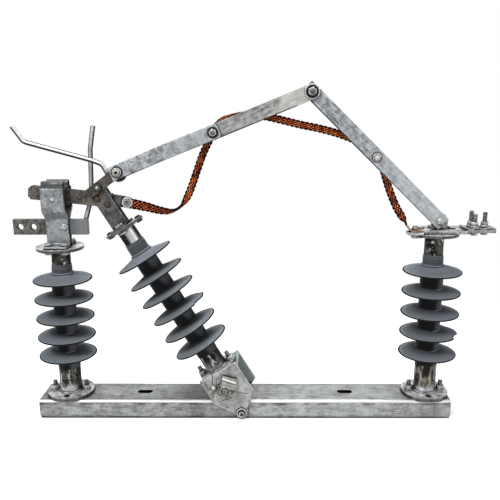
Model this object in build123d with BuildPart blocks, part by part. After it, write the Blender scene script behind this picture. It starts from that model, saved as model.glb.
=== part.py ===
from build123d import *
import math
import os

os.makedirs("parts", exist_ok=True)

# One pole of a rocking line disconnect switch, shown closed.
# X runs along the channel, Y is depth (minus is the front), Z is up, all in millimetres.
# The origin is the middle of the channel's underside.

# Base channel: folded sheet, web on top, open below
channel_length = 730.0
channel_width = 70.0
channel_height = 34.0
channel_wall = 3.0
channel_fold_radius = 4.5
channel_corner_radius = 8.0
slot_length = 28.0
slot_width = 14.0
slot_place = 182.0

# Columns: a rod insulator stands on the channel at each end and one on the rocker
left_column_x = -317.0
right_column_x = 326.0
left_column_height = 274.0
right_column_height = 298.0
rocker_column_height = 308.5
flange_radius = 41.0
flange_thickness = 6.0
flange_hole_radius = 5.5
flange_hole_circle = 28.5
collar_height = 2.0
foot_sleeve_radius = 19.0
foot_sleeve_length = 34.0
rocker_sleeve_length = 38.5
rocker_flange_radius = 35.5
rocker_flange_hole = 4.8
cap_flange_radius = 40.0
cap_flange_thickness = 5.0
cap_sleeve_radius = 16.0
cap_sleeve_length = 32.0
left_cap_hole_x = 14.0
left_cap_hole_y = 19.5
right_cap_hole_x = 27.0
rocker_cap_hole_y = 24.0
rocker_cap_hole_x = 28.5
trunk_radius = 19.5
shed_radius = 52.5
shed_rim = 2.6
shed_top_drop = 11.0
shed_under_rise = 2.5
left_shed_first = 74.0
left_shed_pitch = 34.8
right_shed_first = 78.0
right_shed_pitch = 37.6
rocker_shed_first = 61.5
rocker_shed_pitch = 36.4
post_sheds = 5
rocker_sheds = 6

# Fasteners
small_bolt_radius = 4.0
small_nut_radius = 7.5
large_bolt_radius = 5.0
large_nut_radius = 9.2
washer_radius = 10.0
washer_thickness = 1.6
foot_washer_radius = 7.4
stud_nut_radius = 6.5
bore_clearance = 0.4

# Rocker: stirrup round the channel, turning on a bolt through both flanges
pivot_x = -5.0
pivot_z = 13.0
closed_tilt = 31.0
column_offset = -2.0
stirrup_wall = 4.0
stirrup_gap = 1.0
stirrup_deck_height = 77.5
stirrup_lip_height = 88.0
stirrup_left = 33.0
stirrup_right = 40.0
stirrup_back_right = 37.0
stirrup_left_knee = 37.0
stirrup_right_knee = 24.0
stirrup_back_knee = 14.0
stirrup_lobe_radius = 12.0
shaft_height = 55.0
shaft_radius = 7.0
shaft_reach = 10.0
shaft_end_radius = 6.0
shaft_end_length = 12.0
clamp_length = 30.0
clamp_height = 28.0
clamp_lip = 9.0

# Contact head on top of the rocker's insulator
cheek_wall = 3.0
cheek_left = 19.0
cheek_right = 9.2
cheek_height = 80.0
cheek_foot = 27.0
head_bolt_rise = (76.9, 61.0, 44.8)
head_bolt_shift = (0.9, -12.1, -2.0)
head_bolt_hex = (7.5, 5.6, 5.6)
blade_leaf = 4.0
blade_space = 4.0
blade_height = 23.0
blade_length = 140.8
blade_root_across = 6.4
blade_root_rise = 45.95
blade_slope = 6.1
blade_bevel = 5.0
rivet_place = 86.0
rivet_radius = 3.0
braid_lug_place = 167.0
braid_lug_height = 22.0
braid_lug_end = 9.0
braid_lug_grip = 25.0
strap_width = 17.0
strap_wall = 4.0
strap_tail = 19.0
arm_pin_across = 44.0
arm_pin_rise = 81.0
horn_radius = 4.0
horn_set_back = 12.0
horn_root_across = 25.7
horn_root_rise = 78.05
horn_steps = ((-13.0, 24.0), (-30.0, 30.5), (-140.0, 61.0), (-157.0, 86.0))
horn_bends = (12.0, 14.0, 12.0)
fixed_horn_steps = ((9.0, 48.5), (12.0, 130.5), (19.0, 168.5))
fixed_horn_inset = 5.0
fixed_horn_bends = (20.0, 20.0, 40.0)

# Folding arms
arm_width = 24.5
arm_wall = 4.0
arm_gap = 0.4
upper_arm_length = 343.0
lower_arm_length = 306.0
upper_strap_reach = 182.0
splice_place = 171.0
lower_bolt_place = 151.0
arm_end = 8.0
spacer_radius = 16.5
spacer_wall = 2.0
arm_anchor_x = 331.0
arm_anchor_rise = 14.0

# Jaw on the left column
jaw_width = 38.0
jaw_wall = 4.0
jaw_bar_half = 4.0
jaw_bulge_half = 20.0
jaw_step_low = -39.7
jaw_step_high = -24.7
jaw_top_rise = 11.3
jaw_foot = 24.0
jaw_bolt_shift = 12.0
jaw_screw_rise = -5.7
jaw_bend_radius = 5.0
finger_wall = 2.4
finger_gap = 0.4
finger_bend_radius = 4.0
finger_top_rise = 24.3
finger_bottom_rise = -12.7
finger_skirt_rise = -20.7
bar_height = 26.5
bar_left = -393.5
bar_right = -266.0
bar_rise = 33.5
bar_hole_radius = 5.5
bar_hole_first = 12.0
bar_hole_spacing = 22.5

# Right terminal
terminal_wall = 5.0
terminal_width = 50.0
terminal_left = 294.0
terminal_right = 375.0
tongue_width = 30.0
tongue_right = 424.0
clamp_left = 372.0
clamp_wall = 4.0
lug_wall = 4.0
lug_width = 27.0
lug_foot = 16.0
stud_places = ((386.0, -7.0), (393.0, 7.0), (409.0, 0.0))

# Copper braid: a flat strip in three spans, its points chosen by hand
braid_width = 17.0
braid_thickness = 4.0
braid_tail = 10.0
lug_steps = ((39.0, -7.3), (62.0, -14.8), (84.0, -17.3))
splice_steps = ((-56.0, -123.5), (-45.0, -106.5), (-37.0, -87.5), (-27.0, -59.5))
splice_approach = (-15.0, 0.0, -27.5)
splice_lead = 20.0
sag_steps = ((21.5, 10.0), (43.5, 13.5), (69.5, 9.0), (99.5, 2.5), (132.5, -6.0), (167.5, -12.5), (204.5, -23.0))
middle_approach = (-22.4, 0.0, 21.9)
middle_lead = 13.5
drop_steps = ((-95.5, 0.0, 76.0), (-86.0, 1.0, 49.0), (-76.0, 6.0, 25.0), (-67.0, 14.0, 9.5), (-60.5, 20.0, -1.0))
tab_bolt_x = 285.5
tab_bolt_y = -24.0
tab_length = 25.0
tab_width = 20.0
ferrule_wall = 3.0

# Places worked out from the sizes above
tilt = math.radians(closed_tilt)
across = Vector(math.cos(tilt), 0, math.sin(tilt))
upward = Vector(-math.sin(tilt), 0, math.cos(tilt))
pivot = Vector(pivot_x, 0, pivot_z)
stirrup_inner = channel_width / 2 + stirrup_gap
blade_half = blade_leaf + blade_space / 2
cheek_face = blade_half + cheek_wall
strap_face = cheek_face + strap_wall
spacer_face = strap_face + spacer_wall
arm_strap_face = spacer_face + arm_gap + arm_wall
arm_bar_face = arm_strap_face - arm_wall
lower_arm_face = arm_bar_face - arm_wall - arm_gap
lug_face = lower_arm_face - arm_wall - arm_gap
bore = small_bolt_radius + bore_clearance
left_top = channel_height + left_column_height
right_top = channel_height + right_column_height
terminal_top = right_top + terminal_wall
arm_anchor_z = terminal_top + arm_anchor_rise
anchor = Vector(arm_anchor_x, 0, arm_anchor_z)
bar_middle_z = left_top + bar_rise
cap_top = stirrup_deck_height + rocker_column_height
arm_pin_height = cap_top + arm_pin_rise
arm_pin = pivot + across * arm_pin_across + upward * arm_pin_height
blade_dir = Vector(math.cos(math.radians(blade_slope)), 0, -math.sin(math.radians(blade_slope)))
blade_root = pivot + across * blade_root_across + upward * (cap_top + blade_root_rise)
blade_tip = blade_root - blade_dir * blade_length
contact_z = blade_tip.Z + blade_dir.Z / blade_dir.X * (left_column_x - blade_tip.X)
jaw_low_top = contact_z + jaw_step_low
jaw_high_bottom = contact_z + jaw_step_high
jaw_top = contact_z + jaw_top_rise
jaw_screw_z = contact_z + jaw_screw_rise
finger_top = contact_z + finger_top_rise
finger_bottom = contact_z + finger_bottom_rise
finger_skirt_bottom = contact_z + finger_skirt_rise
head_bolt_places = [(shift, cap_top + rise) for shift, rise in zip(head_bolt_shift, head_bolt_rise)]
left_cap_holes = [(x, y) for x in (-left_cap_hole_x, left_cap_hole_x)
                  for y in (-left_cap_hole_y, left_cap_hole_y)]
right_cap_holes = [(-right_cap_hole_x, 0), (right_cap_hole_x, 0)]
rocker_cheek_holes = [(0, -rocker_cap_hole_y), (0, rocker_cap_hole_y)]
rocker_side_holes = [(-rocker_cap_hole_x, 0), (rocker_cap_hole_x, 0)]


def knee_point(start, start_length, end, end_length):
    """Where two arms meet above the line from start to end."""
    span = end - start
    along = (span.length**2 + start_length**2 - end_length**2) / (2 * span.length)
    rise = math.sqrt(start_length**2 - along**2)
    unit = span.normalized()
    return start + unit * along + Vector(-unit.Z, 0, unit.X) * rise


knee = knee_point(arm_pin, upper_arm_length, anchor, lower_arm_length)


def facing_front(y, start=Vector(0, 0, 0), toward=Vector(1, 0, 0)):
    """A plane at depth y whose outward side is the front, with its x along toward."""
    return Plane(origin=(start.X, y, start.Z), x_dir=toward, z_dir=(0, -1, 0))


def rocker_front(y):
    return facing_front(y, pivot, across)


def rocker_deck(height, shift=0.0, y=0.0):
    """A plane square to the rocker's column, at a height above the pivot."""
    return Plane(origin=pivot + upward * height + across * shift + Vector(0, y, 0),
                 x_dir=across, z_dir=upward)


def save(part, name):
    part.label = name
    export_step(part, f"parts/{name}.step")


def hex_bolt(seat, shank_radius, hex_radius, head, shank_down, shank_up=0.0, washer=0.0):
    """A bolt standing on a seat: washer and hexagon above it, shank below and above."""
    lift = washer_thickness if washer > 0 else 0.0
    with BuildPart() as bolt:
        with BuildSketch(seat.offset(-shank_down)):
            Circle(shank_radius)
        extrude(amount=shank_down + lift + head + shank_up)
        if washer > 0:
            with BuildSketch(seat):
                Circle(washer)
            extrude(amount=washer_thickness)
        with BuildSketch(seat.offset(lift)):
            RegularPolygon(hex_radius, 6)
        extrude(amount=head)
    return bolt.part


def hex_nut(seat, hex_radius, height):
    """A nut standing on a seat."""
    with BuildPart() as nut:
        with BuildSketch(seat):
            RegularPolygon(hex_radius, 6)
        extrude(amount=height)
    return nut.part


def make_column(seat, height, first_shed, pitch, count, cap_holes, prefix, foot_radius=flange_radius,
                hole_radius=flange_hole_radius, sleeve_length=foot_sleeve_length, cap_radius=cap_flange_radius):
    """A rod insulator from its seat up: steel foot, rubber body with sheds, steel cap."""
    with BuildPart() as foot:
        with BuildSketch(seat):
            Circle(foot_radius)
        extrude(amount=flange_thickness)
        with BuildSketch(seat.offset(flange_thickness)):
            Circle(foot_sleeve_radius + collar_height)
        extrude(amount=collar_height, taper=40)
        with BuildSketch(seat):
            Circle(foot_sleeve_radius)
        extrude(amount=sleeve_length)
        with Locations(seat):
            with PolarLocations(flange_hole_circle, 4):
                Hole(hole_radius)
    save(foot.part, f"{prefix}_insulator_base")

    body_bottom = sleeve_length
    body_top = height - cap_sleeve_length
    with BuildPart() as body:
        with BuildSketch(Plane(origin=seat.origin, x_dir=seat.x_dir, z_dir=-seat.y_dir)):
            with BuildLine():
                corners = [(0, body_bottom), (trunk_radius, body_bottom)]
                for number in range(count):
                    middle = first_shed + number * pitch
                    corners.append((trunk_radius, middle - shed_rim / 2 + shed_under_rise - 4))
                    corners.append((shed_radius, middle - shed_rim / 2))
                    corners.append((shed_radius, middle + shed_rim / 2))
                    corners.append((trunk_radius, middle + shed_rim / 2 + shed_top_drop))
                corners.append((trunk_radius, body_top))
                corners.append((0, body_top))
                Polyline(*corners, close=True)
            make_face()
        revolve(axis=Axis(seat.origin, seat.z_dir), revolution_arc=360)
    save(body.part, f"{prefix}_insulator_body")

    with BuildPart() as cap:
        with BuildSketch(seat.offset(body_top)):
            Circle(cap_sleeve_radius)
        extrude(amount=cap_sleeve_length - cap_flange_thickness)
        with BuildSketch(seat.offset(height - cap_flange_thickness)):
            Circle(cap_radius)
            with Locations(cap_holes):
                Circle(bore, mode=Mode.SUBTRACT)
        extrude(amount=cap_flange_thickness)
    save(cap.part, f"{prefix}_insulator_cap")


# Base channel
with BuildPart() as base_channel:
    inner_width = channel_width - 2 * channel_wall
    with BuildSketch(Plane.YZ.offset(-channel_length / 2)):
        with Locations((0, channel_height / 2)):
            Rectangle(channel_width, channel_height)
        with Locations((0, (channel_height - channel_wall) / 2)):
            Rectangle(inner_width, channel_height - channel_wall, mode=Mode.SUBTRACT)
    extrude(amount=channel_length)
    top_folds = base_channel.edges().filter_by(Axis.X).group_by(Axis.Z)[-1]
    fillet(top_folds, channel_fold_radius)
    low_corners = base_channel.edges().filter_by(Axis.Y).group_by(Axis.Z)[0]
    fillet(low_corners, channel_corner_radius)
    with Locations(Plane.XY.offset(channel_height)):
        for column_x in (left_column_x, right_column_x):
            with Locations((column_x, 0)):
                with PolarLocations(flange_hole_circle, 2):
                    Hole(bore, depth=channel_wall * 2)
    with BuildSketch(Plane.XY.offset(channel_height)):
        with Locations((-slot_place, 0), (slot_place, 0)):
            SlotOverall(slot_length, slot_width)
    extrude(amount=-2 * channel_wall, mode=Mode.SUBTRACT)
    with BuildSketch(Plane.XZ.offset(channel_width / 2)):
        with Locations((pivot_x, pivot_z)):
            Circle(large_bolt_radius + bore_clearance)
    extrude(amount=-channel_width, mode=Mode.SUBTRACT)
save(base_channel.part, "base_channel")

# The three insulators
left_seat = Plane(origin=(left_column_x, 0, channel_height), x_dir=(1, 0, 0), z_dir=(0, 0, 1))
right_seat = Plane(origin=(right_column_x, 0, channel_height), x_dir=(1, 0, 0), z_dir=(0, 0, 1))
rocker_seat = rocker_deck(stirrup_deck_height, column_offset)
make_column(left_seat, left_column_height, left_shed_first, left_shed_pitch, post_sheds,
            left_cap_holes, "left")
make_column(right_seat, right_column_height, right_shed_first, right_shed_pitch, post_sheds,
            right_cap_holes, "right")
make_column(rocker_seat, rocker_column_height, rocker_shed_first, rocker_shed_pitch,
            rocker_sheds, rocker_cheek_holes + rocker_side_holes, "rocker", rocker_flange_radius,
            rocker_flange_hole, rocker_sleeve_length, rocker_flange_radius)


def foot_bolts(seat, grip):
    """Two bolts up through the foot flange, nuts on the flange, heads under the grip."""
    pieces = []
    for side in (-1, 1):
        place = seat.origin + seat.x_dir * (side * flange_hole_circle)
        top = Plane(origin=place + seat.z_dir * flange_thickness, x_dir=seat.x_dir, z_dir=seat.z_dir)
        pieces.append(hex_bolt(top, small_bolt_radius, small_nut_radius, 7, flange_thickness + grip, 9,
                               foot_washer_radius))
        under = Plane(origin=place - seat.z_dir * grip, x_dir=seat.x_dir, z_dir=-seat.z_dir)
        pieces.append(hex_nut(under, small_nut_radius, 5))
    return pieces


def cap_bolts(seat, height, places, grip):
    """Bolts down through what stands on the cap, with nuts under the cap's flange."""
    pieces = []
    for x, y in places:
        place = seat.origin + seat.x_dir * x + seat.y_dir * y
        top = Plane(origin=place + seat.z_dir * (height + grip), x_dir=seat.x_dir, z_dir=seat.z_dir)
        pieces.append(hex_bolt(top, small_bolt_radius, small_nut_radius, 5, cap_flange_thickness + grip))
        under = Plane(origin=place + seat.z_dir * (height - cap_flange_thickness), x_dir=seat.x_dir,
                      z_dir=-seat.z_dir)
        pieces.append(hex_nut(under, small_nut_radius, 6))
    return pieces


with BuildPart() as left_column_bolts:
    add(foot_bolts(left_seat, channel_wall))
    add(cap_bolts(left_seat, left_column_height, left_cap_holes, jaw_wall))
save(left_column_bolts.part, "left_column_bolts")

with BuildPart() as right_column_bolts:
    add(foot_bolts(right_seat, channel_wall))
    add(cap_bolts(right_seat, right_column_height, right_cap_holes, terminal_wall))
save(right_column_bolts.part, "right_column_bolts")

with BuildPart() as rocker_column_bolts:
    add(foot_bolts(rocker_seat, stirrup_wall))
    add(cap_bolts(rocker_seat, rocker_column_height, rocker_cheek_holes, cheek_wall))
    add(cap_bolts(rocker_seat, rocker_column_height, rocker_side_holes, 0))
save(rocker_column_bolts.part, "rocker_column_bolts")

# Terminal bar of the fixed contact
with BuildPart() as left_terminal_bar:
    with BuildSketch(facing_front(jaw_bar_half)):
        with Locations(((bar_left + bar_right) / 2, bar_middle_z)):
            Rectangle(bar_right - bar_left, bar_height)
        for number in range(2):
            with Locations((bar_left + bar_hole_first + number * bar_hole_spacing, bar_middle_z)):
                Circle(bar_hole_radius, mode=Mode.SUBTRACT)
        with Locations((left_column_x + jaw_bolt_shift, bar_middle_z)):
            Circle(bore, mode=Mode.SUBTRACT)
    extrude(amount=2 * jaw_bar_half)
save(left_terminal_bar.part, "left_terminal_bar")


def jaw_plate(side):
    """A bent plate: foot on the cap, upright against the bar, then stepped outwards."""
    with BuildPart() as plate:
        with BuildSketch(Plane.YZ.offset(left_column_x - jaw_width / 2)):
            with BuildLine():
                FilletPolyline(
                    (side * (jaw_bar_half + jaw_foot), left_top + jaw_wall / 2),
                    (side * (jaw_bar_half + jaw_wall / 2), left_top + jaw_wall / 2),
                    (side * (jaw_bar_half + jaw_wall / 2), jaw_low_top),
                    (side * (jaw_bulge_half + jaw_wall / 2), jaw_high_bottom),
                    (side * (jaw_bulge_half + jaw_wall / 2), jaw_top),
                    radius=jaw_bend_radius)
                offset(amount=jaw_wall / 2, side=Side.BOTH)
            make_face()
        extrude(amount=jaw_width)
        with BuildSketch(facing_front(60)):
            with Locations((left_column_x + jaw_bolt_shift, bar_middle_z), (left_column_x, jaw_screw_z)):
                Circle(bore)
        extrude(amount=120, mode=Mode.SUBTRACT)
        with BuildSketch(Plane.XY.offset(left_top - 1)):
            with Locations([(left_column_x + x, y) for x, y in left_cap_holes]):
                Circle(bore)
        extrude(amount=jaw_wall + 2, mode=Mode.SUBTRACT)
    return plate.part


save(jaw_plate(-1), "jaw_front_plate")
save(jaw_plate(1), "jaw_back_plate")


def jaw_finger(side):
    """A hairpin spring: outer leg against the plate, over the top, inner leg by the blade."""
    outer = jaw_bulge_half - finger_wall / 2
    inner = blade_half + finger_gap + finger_wall / 2
    bend = min(finger_bend_radius, (outer - inner) * 0.45)
    with BuildPart() as finger:
        with BuildSketch(Plane.YZ.offset(left_column_x - jaw_width / 2 + 1)):
            with BuildLine():
                FilletPolyline(
                    (side * outer, finger_skirt_bottom),
                    (side * outer, finger_top - finger_wall / 2),
                    (side * inner, finger_top - finger_wall / 2),
                    (side * inner, finger_bottom),
                    radius=bend)
                offset(amount=finger_wall / 2, side=Side.BOTH)
            make_face()
        extrude(amount=jaw_width - 2)
        with BuildSketch(facing_front(60)):
            with Locations((left_column_x, jaw_screw_z)):
                Circle(bore)
        extrude(amount=120, mode=Mode.SUBTRACT)
    return finger.part


save(jaw_finger(-1), "jaw_front_finger")
save(jaw_finger(1), "jaw_back_finger")

# Bolt through the bar and a short screw holding each hairpin spring
with BuildPart() as jaw_bolts:
    plate_face = jaw_bar_half + jaw_wall
    bulge_face = jaw_bulge_half + jaw_wall
    bolt_x = left_column_x + jaw_bolt_shift
    front = facing_front(-plate_face, Vector(bolt_x, 0, bar_middle_z))
    back = Plane(origin=(bolt_x, plate_face, bar_middle_z), x_dir=(1, 0, 0), z_dir=(0, 1, 0))
    add(hex_bolt(front, small_bolt_radius, small_nut_radius, 5, 2 * plate_face))
    add(hex_nut(back, small_nut_radius, 6))
    for side in (-1, 1):
        face = Plane(origin=(left_column_x, side * bulge_face, jaw_screw_z), x_dir=(1, 0, 0),
                     z_dir=(0, side, 0))
        add(hex_bolt(face, small_bolt_radius, small_nut_radius, 4, jaw_wall + finger_wall))
save(jaw_bolts.part, "jaw_bolts")

# Fixed arcing horn behind the blade
with BuildPart() as fixed_horn:
    horn_back = jaw_bar_half + horn_radius
    horn_clear = blade_half + horn_set_back
    with BuildLine() as horn_line:
        start_x = bar_right - fixed_horn_inset
        FilletPolyline(
            (start_x, horn_back, bar_middle_z - bar_height / 2),
            (start_x, horn_back, bar_middle_z + bar_height / 2),
            *[(start_x + along, horn_clear, bar_middle_z + rise) for along, rise in fixed_horn_steps],
            radius=fixed_horn_bends)
    with BuildSketch(Plane(origin=horn_line.line @ 0, z_dir=horn_line.line % 0)):
        Circle(horn_radius)
    sweep(path=horn_line.line)
save(fixed_horn.part, "fixed_horn")

# Stirrup: deck under the insulator and two side plates outside the channel
with BuildPart() as rocker_bracket:
    stirrup_sides = ((-stirrup_inner, stirrup_lip_height, stirrup_right, stirrup_right_knee),
                     (stirrup_inner + stirrup_wall, stirrup_deck_height, stirrup_back_right, stirrup_back_knee))
    for back_face, top, right, right_knee in stirrup_sides:
        with BuildSketch(rocker_front(back_face)):
            with BuildLine():
                Polyline(
                    (-stirrup_left, top),
                    (-stirrup_left, stirrup_left_knee),
                    (-stirrup_lobe_radius * 0.9, 0),
                    (stirrup_lobe_radius * 0.9, 0),
                    (right, right_knee),
                    (right, top),
                    close=True)
            make_face()
            Circle(stirrup_lobe_radius)
            Circle(large_bolt_radius + bore_clearance, mode=Mode.SUBTRACT)
            with Locations((0, shaft_height)):
                Circle(shaft_radius + bore_clearance, mode=Mode.SUBTRACT)
        extrude(amount=stirrup_wall)
    with BuildSketch(rocker_deck(stirrup_deck_height - stirrup_wall)):
        with Locations(((stirrup_back_right - stirrup_left) / 2, 0)):
            Rectangle(stirrup_left + stirrup_back_right, 2 * (stirrup_inner + stirrup_wall))
        with Locations((column_offset - flange_hole_circle, 0), (column_offset + flange_hole_circle, 0)):
            Circle(bore, mode=Mode.SUBTRACT)
    extrude(amount=stirrup_wall)
save(rocker_bracket.part, "rocker_bracket")

# Pivot bolt through the channel, fixed to it
with BuildPart() as pivot_bolt:
    face = stirrup_inner + stirrup_wall + 0.5
    front = facing_front(-face, pivot)
    back = Plane(origin=(pivot_x, face, pivot_z), x_dir=(1, 0, 0), z_dir=(0, 1, 0))
    add(hex_bolt(front, large_bolt_radius, large_nut_radius, 8, 2 * face, 4))
    add(hex_nut(back, large_nut_radius, 7))
save(pivot_bolt.part, "pivot_bolt")

# Drive shaft across the stirrup with a clamp plate on its front end
shaft_end = stirrup_inner + stirrup_wall + shaft_reach
with BuildPart() as drive_shaft:
    with BuildSketch(rocker_front(shaft_end)):
        with Locations((0, shaft_height)):
            Circle(shaft_radius)
    extrude(amount=2 * shaft_end)
    with BuildSketch(rocker_front(shaft_end + shaft_end_length)):
        with Locations((0, shaft_height)):
            Circle(shaft_end_radius)
    extrude(amount=shaft_end_length)
save(drive_shaft.part, "drive_shaft")

with BuildPart() as shaft_clamp:
    clamp_face = stirrup_inner + stirrup_wall
    with BuildSketch(rocker_front(-clamp_face)):
        with Locations((-2, shaft_height + 1)):
            RectangleRounded(clamp_length, clamp_height, 3)
        with Locations((0, shaft_height)):
            Circle(shaft_radius + bore_clearance, mode=Mode.SUBTRACT)
    extrude(amount=stirrup_wall)
    with BuildSketch(rocker_front(-clamp_face)):
        with Locations((-2, shaft_height + 1 + clamp_height / 2 - stirrup_wall / 2)):
            Rectangle(clamp_length - 6, stirrup_wall)
    extrude(amount=clamp_lip)
save(shaft_clamp.part, "shaft_clamp")

# Head cheeks: two angles standing on the cap, one each side of the blade
def head_cheek(side):
    depth = blade_half if side > 0 else -blade_half - cheek_wall
    with BuildPart() as cheek:
        with BuildSketch(rocker_front(depth + cheek_wall)):
            with Locations(((cheek_right - cheek_left) / 2, cap_top + cheek_height / 2)):
                Rectangle(cheek_left + cheek_right, cheek_height)
            for place in head_bolt_places:
                with Locations(place):
                    Circle(bore, mode=Mode.SUBTRACT)
        extrude(amount=cheek_wall)
        with BuildSketch(rocker_deck(cap_top)):
            with Locations(((cheek_right - cheek_left) / 2, side * (blade_half + cheek_foot / 2))):
                Rectangle(cheek_left + cheek_right, cheek_foot)
            with Locations([(x + column_offset, y) for x, y in rocker_cheek_holes]):
                Circle(bore, mode=Mode.SUBTRACT)
        extrude(amount=cheek_wall)
    return cheek.part


save(head_cheek(-1), "head_front_cheek")
save(head_cheek(1), "head_back_cheek")

# Cross strap in front of the cheeks, carrying the arm's pin
strap_angle = math.degrees(math.atan2(arm_pin_height - head_bolt_places[0][1],
                                      arm_pin_across - head_bolt_places[0][0]))
with BuildPart() as cross_strap:
    with BuildSketch(rocker_front(-cheek_face)):
        with Locations((head_bolt_places[0][0], head_bolt_places[0][1])):
            with Locations(Location((0, 0, 0), (0, 0, strap_angle))):
                with Locations(((arm_pin_across - strap_tail) / 2, 0)):
                    Rectangle(arm_pin_across + strap_tail, strap_width)
        with Locations((arm_pin_across, arm_pin_height)):
            Circle(strap_width / 2)
        for place in (head_bolt_places[0], (arm_pin_across, arm_pin_height)):
            with Locations(place):
                Circle(bore, mode=Mode.SUBTRACT)
    extrude(amount=strap_wall)
save(cross_strap.part, "cross_strap")

# Contact blade: two leaves with riveted packing between them
def on_blade(place):
    """A point of the rocker's front plane, in the blade's own plane."""
    world = pivot + across * place[0] + upward * place[1]
    step = world - blade_tip
    normal = Vector(-blade_dir.Z, 0, blade_dir.X)
    return (step.dot(blade_dir), step.dot(normal))


with BuildPart() as contact_blade:
    for side in (-1, 1):
        depth = blade_space / 2 if side > 0 else -blade_half
        with BuildSketch(facing_front(depth + blade_leaf, blade_tip, blade_dir)):
            with BuildLine():
                half = blade_height / 2
                Polyline((0, -half + blade_bevel), (blade_bevel, -half), (blade_length, -half),
                         (blade_length, half), (blade_bevel, half), (0, half - blade_bevel), close=True)
            make_face()
            for place in head_bolt_places[1:]:
                with Locations(on_blade(place)):
                    Circle(bore, mode=Mode.SUBTRACT)
        extrude(amount=blade_leaf)
    with BuildSketch(facing_front(blade_half + 1, blade_tip, blade_dir)):
        with Locations((rivet_place, 0)):
            Circle(rivet_radius)
    extrude(amount=2 * blade_half + 2)
save(contact_blade.part, "contact_blade")

# Lug between the leaves, to which the braid is bolted
with BuildPart() as braid_lug:
    with BuildSketch(facing_front(blade_space / 2, blade_tip, blade_dir)):
        with BuildLine():
            half = braid_lug_height / 2
            grip_start = blade_length - braid_lug_grip
            Polyline((grip_start, -half), (blade_length, -half), (braid_lug_place, -braid_lug_end),
                     (braid_lug_place, braid_lug_end), (blade_length, half), (grip_start, half), close=True)
        make_face()
        with Locations((braid_lug_place, 0)):
            Circle(braid_lug_end)
            Circle(bore, mode=Mode.SUBTRACT)
        for place in head_bolt_places[1:]:
            with Locations(on_blade(place)):
                Circle(bore, mode=Mode.SUBTRACT)
    extrude(amount=blade_space)
save(braid_lug.part, "braid_lug")

# Bolts of the head
with BuildPart() as head_bolts:
    for index, place in enumerate(head_bolt_places):
        front_face = strap_face if index == 0 else cheek_face
        origin = pivot + across * place[0] + upward * place[1]
        add(hex_bolt(facing_front(-front_face, origin), small_bolt_radius, head_bolt_hex[index], 5,
                     front_face + cheek_face))
        back = Plane(origin=(origin.X, cheek_face, origin.Z), x_dir=across, z_dir=(0, 1, 0))
        add(hex_nut(back, small_nut_radius, 6))
    lug_bolt = blade_tip + blade_dir * braid_lug_place
    add(hex_bolt(facing_front(-blade_half, lug_bolt), small_bolt_radius, small_nut_radius, 5,
                 blade_half + blade_space / 2, 0, washer_radius - 1))
    back = Plane(origin=(lug_bolt.X, blade_space / 2, lug_bolt.Z), x_dir=across, z_dir=(0, 1, 0))
    add(hex_nut(back, small_nut_radius, 6))
save(head_bolts.part, "head_bolts")

# Moving arcing horn, welded behind the cross strap
with BuildPart() as moving_horn:
    horn_depth = -cheek_face + horn_radius
    with BuildLine() as horn_line:
        horn_root = pivot + across * horn_root_across + upward * (cap_top + horn_root_rise)
        FilletPolyline(
            (horn_root.X, horn_depth, horn_root.Z),
            *[(horn_root.X + along, horn_depth, horn_root.Z + rise) for along, rise in horn_steps],
            radius=horn_bends)
    with BuildSketch(Plane(origin=horn_line.line @ 0, z_dir=horn_line.line % 0)):
        Circle(horn_radius)
    sweep(path=horn_line.line)
save(moving_horn.part, "moving_horn")

# Folding arms
upper_dir = (knee - arm_pin).normalized()
lower_dir = (anchor - knee).normalized()


def arm_plate(face, start, toward, first, last, holes):
    """A flat bar whose front face is at a depth, from one place to another along a line."""
    with BuildPart() as plate:
        with BuildSketch(facing_front(-face + arm_wall, start, toward)):
            with Locations(((first + last) / 2, 0)):
                RectangleRounded(last - first, arm_width, 2)
            for place, radius in holes:
                with Locations((place, 0)):
                    Circle(radius, mode=Mode.SUBTRACT)
        extrude(amount=arm_wall)
    return plate.part


save(arm_plate(arm_strap_face, arm_pin, upper_dir, -arm_end - 4, upper_strap_reach,
               [(0, bore), (splice_place, bore)]), "upper_arm_strap")
save(arm_plate(arm_bar_face, arm_pin, upper_dir, splice_place - 16, upper_arm_length + arm_end,
               [(splice_place, bore), (upper_arm_length, bore)]), "upper_arm_bar")
save(arm_plate(lower_arm_face, knee, lower_dir, -arm_end - 4, lower_arm_length + arm_end,
               [(0, bore), (lower_bolt_place, bore), (lower_arm_length, bore)]), "lower_arm")

def braid_bolt(front_face, back_face, place, washer):
    """A bolt through an arm and the braid behind it, packed out between them."""
    braid_front = -blade_half
    with BuildPart() as piece:
        add(hex_bolt(facing_front(front_face, place), small_bolt_radius, small_nut_radius, 5,
                     -front_face - blade_space / 2, 0, washer))
        with BuildSketch(facing_front(braid_front, place)):
            Circle(small_nut_radius)
        extrude(amount=braid_front - back_face)
        back = Plane(origin=(place.X, -blade_space / 2, place.Z), x_dir=(1, 0, 0), z_dir=(0, 1, 0))
        add(hex_nut(back, small_nut_radius, 6))
    return piece.part


splice = arm_pin + upper_dir * splice_place
middle = knee + lower_dir * lower_bolt_place
save(braid_bolt(-arm_strap_face, -arm_bar_face + arm_wall, splice, washer_radius), "upper_arm_bolts")
save(braid_bolt(-lower_arm_face, -lower_arm_face + arm_wall, middle, 0), "lower_arm_bolts")

# Pin of the upper arm in the cross strap, with a broad spacer behind the arm
with BuildPart() as arm_pin_bolt:
    add(hex_bolt(facing_front(-arm_strap_face - arm_gap, arm_pin), small_bolt_radius, small_nut_radius, 6,
                 arm_strap_face + arm_gap - cheek_face + 1, 0, washer_radius))
    with BuildSketch(facing_front(-strap_face, arm_pin)):
        Circle(spacer_radius)
    extrude(amount=spacer_wall)
    back = Plane(origin=(arm_pin.X, -cheek_face, arm_pin.Z), x_dir=across, z_dir=(0, 1, 0))
    add(hex_nut(back, small_nut_radius, 5))
save(arm_pin_bolt.part, "arm_pin_bolt")

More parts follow.
